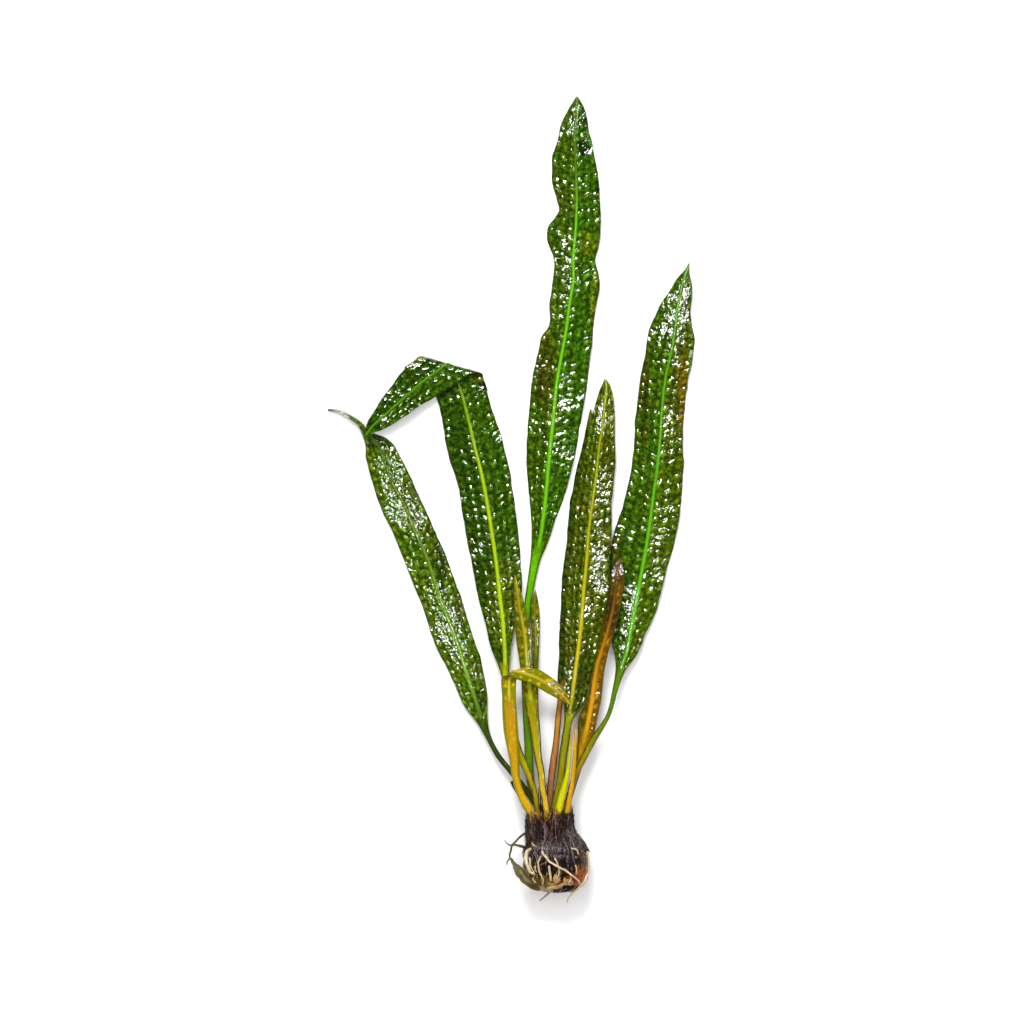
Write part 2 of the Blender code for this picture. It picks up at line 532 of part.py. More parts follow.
def build_collar(collection):
    """The neck of old fibres, ridged along the plant, with a skirt that lies over the tuber."""
    turn = np.linspace(0.0, 2.0 * pi, COLLAR_FIBRES, endpoint=False)
    ridge = 1.0 + COLLAR_RIDGE * (-1.0) ** np.arange(COLLAR_FIBRES)
    front = np.maximum(np.sin(turn), 0.0) ** 2
    hem = SKIRT_SIDE_Y + (SKIRT_FRONT_Y - SKIRT_SIDE_Y) * front
    outside = COLLAR_LIFT + SKIRT_THICKNESS * ridge
    rings = [
        collar_ring(turn, 0.94 * ridge, COLLAR_TOP_Y, outside),
        collar_ring(turn, ridge, 16.8, outside),
        collar_ring(turn, ridge, 13.4, outside),
        collar_ring(turn, ridge, 10.4, outside),
    ]
    for share in (0.35, 0.7, 1.0):
        rings.append(collar_ring(turn, ridge, SKIRT_TOP_Y + (hem - SKIRT_TOP_Y) * share, outside))
    for share in (1.0, 0.7, 0.35, 0.0):
        y = SKIRT_TOP_Y + (hem - SKIRT_TOP_Y) * share
        reach = tuber_reach(y) + TUBER_LUMP + COLLAR_LIFT
        rings.append(np.stack([reach * np.cos(turn), y, TUBER_CENTRE_Z + reach * np.sin(turn)], 1))
    crown = np.full(COLLAR_FIBRES, TUBER_CROWN_Y + COLLAR_LIFT)
    inner = 0.5 * TUBER_RADIUS
    rings.append(np.stack([inner * np.cos(turn), crown, TUBER_CENTRE_Z + inner * np.sin(turn)], 1))
    return add("collar", loft("collar", np.array(rings)), collection, (0.03, 0.015, 0.02), 0.6)


ROOTS = [
    ("root_1", 0.7, 0.8, [(-10.0, 7.4), (-11.6, 5.8), (-12.0, 3.6), (-11.4, 0.8), (-10.4, -1.6),
                          (-8.9, -2.8)]),
    ("root_2", 0.35, 0.5, [(-6.4, 4.0), (-7.2, 1.2), (-6.8, -0.8), (-5.6, -3.6), (-5.3, -5.6),
                           (-5.6, -7.0)]),
    ("root_3", 0.4, 1.6, [(-5.8, 6.6), (-4.4, 4.4), (-2.8, 2.4), (-1.2, 1.2), (1.4, 0.0),
                          (4.6, -1.8), (6.8, -3.5), (8.4, -5.2), (9.4, -6.8)]),
    ("root_4", 0.35, 0.45, [(-0.8, 3.8), (0.8, 1.0), (1.2, -1.6), (0.6, -3.6), (0.3, -5.2)]),
    ("root_5", 0.45, 0.5, [(-2.8, 0.8), (-2.8, -0.8), (-2.3, -3.6), (-2.2, -5.6)]),
    ("root_6", 0.45, 0.7, [(12.4, 6.2), (12.9, 4.4), (13.2, 1.5), (12.8, -2.2), (11.4, -5.2),
                           (8.8, -8.5), (6.1, -10.9, 16.0), (5.1, -12.6, 13.6),
                           (4.2, -14.7, 11.6)]),
    ("root_7", 0.7, 1.7, [(-4.4, -9.0), (-2.8, -8.4), (0.8, -7.6), (2.8, -6.4), (4.4, -4.6)]),
    ("root_8", 0.35, 0.0, [(-3.4, -11.3, 13.0), (-4.4, -11.8, 12.4), (-5.4, -12.8, 11.6),
                           (-6.6, -14.0, 10.6)]),
    ("root_9", 0.45, 0.0, [(-12.9, 13.0, 13.0), (-15.2, 10.9, 12.6), (-17.6, 8.0, 12.0),
                           (-18.3, 5.2, 11.4), (-18.6, 3.2, 11.0), (-19.3, 2.0, 10.6),
                           (-19.6, 0.2, 10.2)]),
    ("root_10", 0.35, 0.0, [(-13.8, 7.7, 15.2), (-16.0, 8.4, 15.0), (-18.2, 8.6, 14.4),
                            (-20.8, 10.4, 13.4)]),
]
FLESHY_ROOT = [(-18.2, 3.4, 0.5), (-17.0, 1.2, 0.9), (-15.0, -1.2, 1.5), (-13.0, -4.0, 1.9),
               (-10.8, -6.4, 1.8), (-8.4, -8.2, 1.3), (-6.4, -9.2, 0.8)]


def build_root(name, radii, points, collection):
    """One root as a round tube through its points, with a radius at each."""
    curve = bpy.data.curves.new(name, "CURVE")
    curve.dimensions = "3D"
    curve.bevel_depth = MM
    curve.bevel_resolution = 1
    curve.use_fill_caps = True
    spline = curve.splines.new("POLY")
    spline.points.add(len(points) - 1)
    for point, place, radius in zip(spline.points, points, radii):
        point.co = (place[0] * MM, place[1] * MM, place[2] * MM, 1.0)
        point.radius = radius
    return add(name, curve, collection, (0.45, 0.33, 0.18), 0.5)


def build_roots(collection):
    """The thin roots, given by places over the tuber or in the air, and the thick fleshy one."""
    for name, radius, lift, places in ROOTS:
        points = [p if len(p) == 3 else over_tuber(p[0], p[1], lift) for p in places]
        build_root(name, [radius] * len(points), points, collection)
    radii = [radius for _, _, radius in FLESHY_ROOT]
    points = [over_tuber(x, y, 1.3 * radius + 0.2) for x, y, radius in FLESHY_ROOT]
    build_root("fleshy_root", radii, points, collection)


def main():
    """Builds the plant in a collection of its own."""
    for thing in list(bpy.data.objects):
        bpy.data.objects.remove(thing, do_unlink=True)
    collection = bpy.data.collections.new("aponogeton_boivinianus")
    bpy.context.scene.collection.children.link(collection)
    build_tuber(collection)
    build_collar(collection)
    for leaf in LEAVES:
        add(leaf.name, loft(leaf.name, leaf_rings(leaf)), collection, leaf.colour, 0.25)
    build_roots(collection)


main()
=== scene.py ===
"""A bare-root aquarium plant with puckered, wet leaves, dressed over its solids.

Lengths are in millimetres until a mesh is made. The plant grows along +Y, its right side is +X and
it rests on the plane Z = 0. Every surface is a grid of two parameters: the distance along the piece
and the place around its closed section.
"""

import logging
from dataclasses import dataclass
from enum import Enum
from math import pi
from typing import ClassVar

import bpy
import numpy as np
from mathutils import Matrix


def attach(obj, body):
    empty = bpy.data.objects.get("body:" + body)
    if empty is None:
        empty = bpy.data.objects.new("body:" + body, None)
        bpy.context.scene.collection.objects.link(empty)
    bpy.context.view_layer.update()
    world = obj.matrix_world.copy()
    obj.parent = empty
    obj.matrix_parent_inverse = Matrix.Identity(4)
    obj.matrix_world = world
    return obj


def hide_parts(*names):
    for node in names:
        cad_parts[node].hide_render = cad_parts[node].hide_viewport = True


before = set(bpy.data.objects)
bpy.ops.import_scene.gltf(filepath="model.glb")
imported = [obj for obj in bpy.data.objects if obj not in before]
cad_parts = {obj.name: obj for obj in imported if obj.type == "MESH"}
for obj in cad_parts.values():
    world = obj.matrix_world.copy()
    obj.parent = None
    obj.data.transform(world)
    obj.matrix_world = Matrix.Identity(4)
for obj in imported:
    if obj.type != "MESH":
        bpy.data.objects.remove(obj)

MM = 0.001
BODY = "root"
# How much brighter than its own colour a dull surface shows under the lamps
STUDIO_LIGHT = 1.6
# Angles once round the growing axis, from the underside on
ROUND = (-0.5 * pi, 1.5 * pi)
LOG = logging.getLogger("aquarium_plant")

Array = np.ndarray
Pair = tuple[float, float]
Patch = tuple[Pair, Pair]
Colour = tuple[float, float, float]


# Shapes worked out on grids


def smooth(low: float, high: float, value: Array) -> Array:
    """Rise smoothly from 0 at low to 1 at high: three times the share squared less twice its cube.

    Args:
        low: Value at which the result is 0.
        high: Value at which the result is 1.
        value: Numbers to ease.

    Returns:
        The eased shares.
    """
    share = np.clip((np.asarray(value, float) - low) / (high - low), 0.0, 1.0)
    return share * share * (3.0 - 2.0 * share)


def hashed(i: Array, j: Array, seed: float) -> Array:
    """Give a repeatable number from 0 to 1 to each pair: the fraction left by a large sine.

    Args:
        i: First whole numbers.
        j: Second whole numbers.
        seed: Makes one pattern differ from the next.

    Returns:
        Numbers from 0 to 1.
    """
    value = np.sin(i * 12.9898 + j * 78.233 + seed * 37.719) * 43758.5453
    return value - np.floor(value)


def ripple(x: Array, y: Array, seed: float) -> Array:
    """Smooth noise from -1 to 1: hashed corner values of a square lattice, eased between corners.

    Args:
        x: First coordinate, one lattice cell to each unit.
        y: Second coordinate.
        seed: Makes one pattern differ from the next.

    Returns:
        The noise at each point.
    """
    x, y = np.broadcast_arrays(np.asarray(x, float), np.asarray(y, float))
    i, j = np.floor(x), np.floor(y)
    u, v = x - i, y - j
    u, v = u * u * (3.0 - 2.0 * u), v * v * (3.0 - 2.0 * v)
    near = hashed(i, j, seed) * (1.0 - u) + hashed(i + 1.0, j, seed) * u
    far = hashed(i, j + 1.0, seed) * (1.0 - u) + hashed(i + 1.0, j + 1.0, seed) * u
    return 2.0 * (near * (1.0 - v) + far * v) - 1.0


def through(knots: Array, values: Array, at: Array) -> Array:
    """Cubic curve through the values at the knots, with slopes from each knot's neighbours.

    Args:
        knots: Rising distances.
        values: One row of numbers for each knot.
        at: Distances at which the curve is read.

    Returns:
        One row of numbers for each distance.
    """
    slopes = np.gradient(values, knots, axis=0)
    first = np.clip(np.searchsorted(knots, at, side="right") - 1, 0, len(knots) - 2)
    span = (knots[first + 1] - knots[first])[:, None]
    share = (at - knots[first])[:, None] / span
    start, end = values[first], values[first + 1]
    ease = share * share * (3.0 - 2.0 * share)
    bend_in = share * (1.0 - share) ** 2 * (slopes[first] * span)
    bend_out = share * share * (share - 1.0) * (slopes[first + 1] * span)
    return start + (end - start) * ease + bend_in + bend_out


def away(x: Array, y: Array, middle: Pair, reach: Pair) -> Array:
    """Measure how far points lie from a patch: the sum of both distances squared, each over its reach.

    Args:
        x: First coordinate of the points.
        y: Second coordinate.
        middle: Middle of the patch.
        reach: Half width of the patch along both coordinates.

    Returns:
        0 at the middle of the patch and 1 on the rim of its ellipse.
    """
    return ((x - middle[0]) / reach[0]) ** 2 + ((y - middle[1]) / reach[1]) ** 2


def distances(points: Array) -> Array:
    """Add up the lengths of the steps from each point to the next.

    Args:
        points: One row for each point.

    Returns:
        The distance of each point along the line, from 0.
    """
    return np.concatenate([[0.0], np.cumsum(np.linalg.norm(np.diff(points, axis=0), axis=1))])


@dataclass
class Skin:
    """Closed surfaces of one piece: rings of points, with a value at each point for each field."""

    rings: Array
    fields: dict[str, Array]

    def faces(self) -> tuple[list[list[int]], Array]:
        """List the faces of every closed tube, with the place of each corner on the unrolled skin.

        Returns:
            The faces, quads first and then the fans at both poles, and one row of UV a corner.
        """
        tubes, count, around = self.rings.shape[:3]
        index = np.arange(tubes * count * around).reshape(tubes, count, around)
        here, there = index[:, :-1], index[:, 1:]
        beside = np.roll(here, -1, 2), np.roll(there, -1, 2)
        quads = np.stack([here, beside[0], beside[1], there], axis=-1).reshape(-1, 4)
        row, column = np.meshgrid(np.arange(count - 1), np.arange(around), indexing="ij")
        corners = np.stack([column, column + 1, column + 1, column], -1) / around
        lengths = np.stack([row, row, row + 1, row + 1], -1) / (count - 1)
        quad_uv = np.tile(np.stack([corners, lengths], -1).reshape(-1, 2), (tubes, 1))
        poles = tubes * count * around + 2 * np.arange(tubes)
        start, end = index[:, 0], index[:, -1]
        low = np.stack([np.roll(start, -1, 1), start, np.repeat(poles[:, None], around, 1)], -1)
        high = np.stack([end, np.roll(end, -1, 1), np.repeat(poles[:, None] + 1, around, 1)], -1)
        fans = np.concatenate([low.reshape(-1, 3), high.reshape(-1, 3)])
        side = np.tile(np.arange(around), tubes) / around
        low_uv = np.stack([side + 1.0 / around, side, side], -1)
        high_uv = np.stack([side, side + 1.0 / around, side], -1)
        fan_u = np.concatenate([low_uv, high_uv]).reshape(-1)
        fan_v = np.concatenate([np.zeros(low_uv.size), np.ones(high_uv.size)])
        uv = np.concatenate([quad_uv, np.stack([fan_u, fan_v], -1)])
        return quads.tolist() + fans.tolist(), uv

    def mesh(self, name: str) -> bpy.types.Mesh:
        """Make the mesh, closed at both poles with a point at the middle of the end ring.

        Args:
            name: Name of the mesh.

        Returns:
            The mesh, in metres, with its UV map and its fields.
        """
        tubes = self.rings.shape[0]
        ends = self.rings[:, [0, -1]].mean(axis=2).reshape(-1, 3)
        points = np.concatenate([self.rings.reshape(-1, 3), ends]) * MM
        faces, uv = self.faces()
        mesh = bpy.data.meshes.new(name)
        mesh.from_pydata(points.tolist(), [], faces)
        mesh.uv_layers.new(name="skin").data.foreach_set("uv", uv.astype(np.float32).ravel())
        for key, values in self.fields.items():
            values = np.broadcast_to(values, self.rings.shape[:3]).astype(np.float32)
            poles = values[:, [0, -1]].mean(axis=2).reshape(2 * tubes)
            layer = mesh.attributes.new(key, "FLOAT", "POINT")
            layer.data.foreach_set("value", np.concatenate([values.ravel(), poles]))
        mesh.shade_smooth()
        return mesh


def tube_rings(paths: Array, radii: Array, around: int) -> Array:
    """Carry a circle along each path: the middle plus the radius times the cosine and sine of a turn.

    Args:
        paths: Points of each tube, as tubes by stations by three.
        radii: Radius at each station of each tube.
        around: Number of points round the circle.

    Returns:
        The rings of every tube.
    """
    ahead = np.gradient(paths, axis=1)
    ahead /= np.linalg.norm(ahead, axis=2, keepdims=True)
    reference = np.array([0.23, 0.11, 0.97])
    across = np.cross(ahead, reference)
    across /= np.linalg.norm(across, axis=2, keepdims=True)
    over = np.cross(across, ahead)
    turn = np.linspace(0.0, 2.0 * pi, around, endpoint=False)
    ring = across[:, :, None] * np.cos(turn)[:, None] + over[:, :, None] * np.sin(turn)[:, None]
    return paths[:, :, None] + radii[:, :, None, None] * ring


# Materials


class Value:
    """A number in a material that takes part in sums: each sum adds one Math node."""

    def __init__(self, board: "Board", socket: bpy.types.NodeSocket) -> None:
        """Wrap the output socket of a node on a board."""
        self.board = board
        self.socket = socket

    def _with(self, operation: str, first: object, second: object) -> "Value":
        """Add the Math node for one operation on two numbers."""
        sum_node = self.board.node("ShaderNodeMath", {"operation": operation}, {0: first, 1: second})
        return Value(self.board, sum_node.outputs[0])

    def __add__(self, other: object) -> "Value":
        """Add another number."""
        return self._with("ADD", self, other)

    def __radd__(self, other: object) -> "Value":
        """Add to another number."""
        return self._with("ADD", other, self)

    def __sub__(self, other: object) -> "Value":
        """Take another number away."""
        return self._with("SUBTRACT", self, other)

    def __rsub__(self, other: object) -> "Value":
        """Take this away from another number."""
        return self._with("SUBTRACT", other, self)

    def __mul__(self, other: object) -> "Value":
        """Multiply by another number."""
        return self._with("MULTIPLY", self, other)

    def __rmul__(self, other: object) -> "Value":
        """Multiply another number."""
        return self._with("MULTIPLY", other, self)

    def upper(self, other: object) -> "Value":
        """Take the higher of two numbers."""
        return self._with("MAXIMUM", self, other)

    def fraction(self) -> "Value":
        """Take what is left over a whole number."""
        return self._with("FRACT", self, 0.0)

    def eased(self, low: float, high: float) -> "Value":
        """Ease from 0 at low to 1 at high.

        Args:
            low: Value at which the result is 0.
            high: Value at which the result is 1.

        Returns:
            The eased number.
        """
        settings = {"interpolation_type": "SMOOTHSTEP", "clamp": True}
        inputs = {0: self, 1: low, 2: high, 3: 0.0, 4: 1.0}
        return Value(self.board, self.board.node("ShaderNodeMapRange", settings, inputs).outputs[0])


class Board:
    """The node tree of one material, with its principled shader."""

    def __init__(self, name: str) -> None:
        """Start a material.

        Args:
            name: Name of the material.
        """
        self.material = bpy.data.materials.new(name)
        self.material.use_nodes = True
        self.tree = self.material.node_tree
        self.shader = self.tree.nodes["Principled BSDF"]
        self.place = self.node("ShaderNodeTexCoord", {}, {}).outputs["Object"]

    def plug(self, socket: bpy.types.NodeSocket, value: object) -> None:
        """Link a socket or a Value to an input, or set the input to a number, colour or vector.

        Args:
            socket: Input of a node.
            value: What the input gets; a colour of three numbers is made opaque.
        """
        if isinstance(value, Value):
            value = value.socket
        if isinstance(value, bpy.types.NodeSocket):
            self.tree.links.new(value, socket)
        elif isinstance(value, tuple) and socket.type == "RGBA" and len(value) == 3:
            socket.default_value = (*value, 1.0)
        else:
            socket.default_value = value

    def node(self, kind: str, settings: dict, inputs: dict) -> bpy.types.Node:
        """Add one node.

        Args:
            kind: Type of the node.
            settings: Properties set first; stops are a ramp's positions and colours.
            inputs: Values or links of its sockets, by name or number.

        Returns:
            The node.
        """
        node = self.tree.nodes.new(kind)
        for key, value in settings.items():
            if key == "stops":
                for number, (position, colour) in enumerate(value):
                    elements = node.color_ramp.elements
                    stop = elements[number] if number < 2 else elements.new(position)
                    stop.position, stop.color = position, (*colour, 1.0)
            else:
                setattr(node, key, value)
        for key, value in inputs.items():
            self.plug(node.inputs[key], value)
        return node

    def field(self, name: str) -> Value:
        """Read one of the mesh's fields."""
        return Value(self, self.node("ShaderNodeAttribute", {"attribute_name": name}, {}).outputs["Fac"])

    def noise(self, cells: float, detail: float = 2.0, stretch: Colour = (1.0, 1.0, 1.0)) -> Value:
        """Noise over Object coordinates.

        Args:
            cells: Cells to the metre.
            detail: Finer layers on top.
            stretch: Factor on the number of cells along each axis.

        Returns:
            The noise, about 0.5.
        """
        scaled = self.node("ShaderNodeVectorMath", {"operation": "MULTIPLY"}, {0: self.place, 1: stretch})
        inputs = {"Vector": scaled.outputs[0], "Scale": cells, "Detail": detail, "Roughness": 0.6}
        return Value(self, self.node("ShaderNodeTexNoise", {}, inputs).outputs["Fac"])

    def upward(self) -> Value:
        """Give the place along the growing axis, in metres."""
        return Value(self, self.node("ShaderNodeSeparateXYZ", {}, {0: self.place}).outputs["Y"])

    def ramp(self, value: Value, stops: tuple) -> bpy.types.NodeSocket:
        """Read a colour ramp at a value."""
        return self.node("ShaderNodeValToRGB", {"stops": stops}, {"Fac": value}).outputs["Color"]

    def mix(self, share: object, first: object, second: object, blend: str = "MIX") -> bpy.types.NodeSocket:
        """Mix two colours.

        Args:
            share: Share of the second colour.
            first: First colour.
            second: Second colour.
            blend: Way in which they are mixed.

        Returns:
            The mixed colour.
        """
        settings = {"data_type": "RGBA", "blend_type": blend, "clamp_factor": True}
        return self.node("ShaderNodeMix", settings, {0: share, 6: first, 7: second}).outputs[2]

    def bump(self, height: Value, strength: float, distance: float) -> None:
        """Raise the surface's finest relief through the shader's Normal.

        Args:
            height: Height of the relief, from 0 to 1.
            strength: Share of the relief that shows.
            distance: Height of the relief in metres.
        """
        inputs = {"Strength": strength, "Distance": distance, "Height": height}
        node = self.node("ShaderNodeBump", {}, inputs)
        self.plug(self.shader.inputs["Normal"], node.outputs["Normal"])

    def finish(self, colour: object, roughness: object, **constants: float) -> bpy.types.Material:
        """Set the shader's colour and roughness, and its constant sockets by their names.

        Args:
            colour: Base colour.
            roughness: Roughness.
            constants: Numbers for other sockets, with underscores for the spaces in their names.

        Returns:
            The material.
        """
        self.plug(self.shader.inputs["Base Color"], colour)
        self.plug(self.shader.inputs["Roughness"], roughness)
        for key, value in constants.items():
            self.shader.inputs[key.replace("_", " ")].default_value = value
        return self.material


def paint(red: float, green: float, blue: float) -> Colour:
    """Undo the screen's curve on a colour and divide it by the light of the studio.

    Args:
        red: Red as seen on a screen, from 0 to 255.
        green: Green.
        blue: Blue.

    Returns:
        The linear colour of the surface.
    """
    seen = np.array([red, green, blue], float) / 255.0
    linear = np.where(seen < 0.04045, seen / 12.92, ((seen + 0.055) / 1.055) ** 2.4)
    return tuple(float(x) for x in linear / STUDIO_LIGHT)


class Tone(Enum):
    """The tones of stain patches and painted shadows on the leaves, each a field of the mesh and a colour.
    """

    OLIVE = ("olive", (78, 80, 2))
    YELLOW = ("yellow", (128, 138, 8))
    AMBER = ("amber", (146, 112, 6))
    BROWN = ("brown", (70, 50, 8))
    DARK = ("dark", (12, 16, 10))

    def field(self) -> str:
        """Name of the mesh's field."""
        return self.value[0]

    def colour(self) -> Colour:
        """Linear colour."""
        return paint(*self.value[1])


@dataclass(frozen=True)
class LeafFinish:
    """Colours of one leaf, as seen on a screen, and its gloss.

    The petiole runs from crown to stalk, with side on its flanks. left and right are the colours on
    both sides of the midrib; painted shade darkens the grooves between the domes and a painted sheen
    lightens the domes, both mixed with noise mottling. The midrib turns from rib to rib_tip over
    rib_turn, counted 0 at the crown, 1 at the blade's foot and 2 at its tip.
    Fields of linear colours are factors on the colour below, and ripples counts the film's to the metre.
    """

    crown: Colour
    stalk: Colour
    left: Colour
    right: Colour
    rib: Colour
    rib_tip: Colour
    rim: Colour = (60, 58, 4)
    side: Colour = (78, 74, 2)
    rib_turn: tuple[float, float] = (1.1, 1.9)
    # Share of the blade colour kept in the painted shade of the grooves between domes
    shade_in_grooves: float = 0.26
    gloss: float = 0.07
    grit: float = 0.2
    olive_shift: Colour = (1.1, 0.76, 0.4)
    # Factors of the painted whitish sheen on the domes
    sheen_on_domes: Colour = (3.0, 2.4, 7.0)
    streak_light: Colour = (1.35, 1.3, 1.2)
    fleck: Colour = (0.003, 0.005, 0.0)
    ripples: float = 760.0
    relief: float = 0.0003
    reflection: float = 0.42

    def material(self, name: str) -> bpy.types.Material:
        """Make the leaf's material.

        Args:
            name: Name of the material.

        Returns:
            The material, which reads the fields of the leaf's mesh.
        """
        board = Board(name)
        broad = board.noise(170.0, 2.0)
        fine = board.noise(800.0, 3.0)
        flecks = board.noise(2300.0, 2.0)
        side, ribbed, bladed = board.field("side"), board.field("rib"), board.field("blade")
        blade = board.mix(side.eased(-0.08, 0.08), paint(*self.left), paint(*self.right))
        olive = board.mix(1.0, blade, self.olive_shift, "MULTIPLY")
        blade = board.mix(broad.eased(0.44, 0.62) * 0.7, blade, olive)
        for tone in Tone:
            share = board.field(tone.field()) * (0.35 + 1.1 * fine)
            blade = board.mix(share, blade, tone.colour())
        # Painted shade darkens the grooves and a painted sheen lightens the domes, both mixed with noise
        # mottling
        groove_shade_colour = board.mix(1.0, blade, (self.shade_in_grooves, 1.25 * self.shade_in_grooves, 0.3 * self.shade_in_grooves), "MULTIPLY")
        dome_sheen_colour = board.mix(1.0, blade, self.sheen_on_domes, "MULTIPLY")
        light = board.field("dome") * 0.45 + (fine - 0.5) * 1.9
        blade = board.mix(light.eased(-0.15, 0.22), groove_shade_colour, blade)
        blade = board.mix(light.eased(0.2, 0.6), blade, dome_sheen_colour)
        edge = board.field("edge").eased(0.94, 1.0) * 0.3
        blade = board.mix(edge, blade, paint(*self.rim))
        height = board.field("height")
        foot = board.mix(height.eased(0.1, 0.8), paint(*self.crown), paint(*self.stalk))
        streak = board.noise(1300.0, 3.0, (1.0, 0.06, 1.0))
        outer = side.upper(side * -1.0).eased(0.3, 1.0) + (streak - 0.5) * 1.8
        foot = board.mix(outer.eased(0.1, 0.9), foot, paint(*self.side))
        pale = board.mix(1.0, foot, self.streak_light, "MULTIPLY")
        foot = board.mix((streak * -1.0 + fine).eased(0.06, 0.2), foot, pale)
        low, high = self.rib_turn
        rib = board.mix(height.eased(low, high), paint(*self.rib), paint(*self.rib_tip))
        rib = board.mix(height.eased(0.95, 1.15), foot, rib)
        colour = board.mix(bladed, foot, blade)
        colour = board.mix(ribbed * (0.7 + 0.5 * fine), colour, rib)
        colour = board.mix(flecks.eased(0.68, 0.74) * 0.6, colour, self.fleck)
        roughness = self.gloss + 0.1 * (fine - 0.4) + 0.1 * ribbed
        grain = board.noise(1150.0, 1.0)
        wet = board.field("wet")
        facets = (board.noise(420.0, 2.0) * 1.6 - board.upward() * self.ripples).fraction()
        height = 0.3 * fine + grain * (self.grit * bladed + 0.35 * wet) + facets * wet * 1.5
        board.bump(height, 1.0, self.relief)
        return board.finish(colour, roughness, Specular_IOR_Level=self.reflection)


# Leaves


@dataclass(frozen=True)
class Fold:
    """A crease across a leaf: what lies beyond it is wrapped round a cylinder and bent back."""

    point: tuple[float, float]
    along: tuple[float, float]
    radius: float
    height: float

    def frame(self) -> tuple[Array, Array]:
        """Give unit vectors along the crease and across it, towards the tip."""
        along = np.array(self.along) / np.hypot(*self.along)
        return along, np.array([-along[1], along[0]])

    def over(self, points: Array) -> Array:
        """Wrap the points beyond the crease.

        A point's distance past the crease becomes an angle on the cylinder, up to half a turn, and
        what is left of it runs back over the leaf.

        Args:
            points: Points of the flat leaf.

        Returns:
            Points of the folded leaf.
        """
        along, across = self.frame()
        flat = points[..., :2] - np.array(self.point)
        lengthwise, beyond = flat @ along, flat @ across
        lift = points[..., 2] - self.height
        turn = np.clip(beyond / self.radius, 0.0, pi)
        past = np.maximum(beyond - pi * self.radius, 0.0)
        arm = self.radius - lift
        place = np.minimum(beyond, 0.0) + arm * np.sin(turn) - past
        height = self.height + self.radius - arm * np.cos(turn)
        bent = np.array(self.point) + lengthwise[..., None] * along + place[..., None] * across
        return np.concatenate([bent, height[..., None]], axis=-1)


@dataclass(frozen=True)
class TonePatch:
    """A soft-edged patch of tone on a leaf, by its middle and reach seen from above: mostly stain, and in a
    few places a painted shadow.
    """

    tone: Tone
    x: float
    y: float
    reach_x: float
    reach_y: float
    strength: float = 1.0


@dataclass(frozen=True)
class Glare:
    """A patch under a rippled film of water, by its place and reach across and along the blade.

    Across runs from -1 at the left margin to 1 at the right one, along from 0 at the blade's foot to
    1 at its tip.
    """

    across: float
    along: float
    reach_across: float
    reach_along: float
    strength: float = 1.0


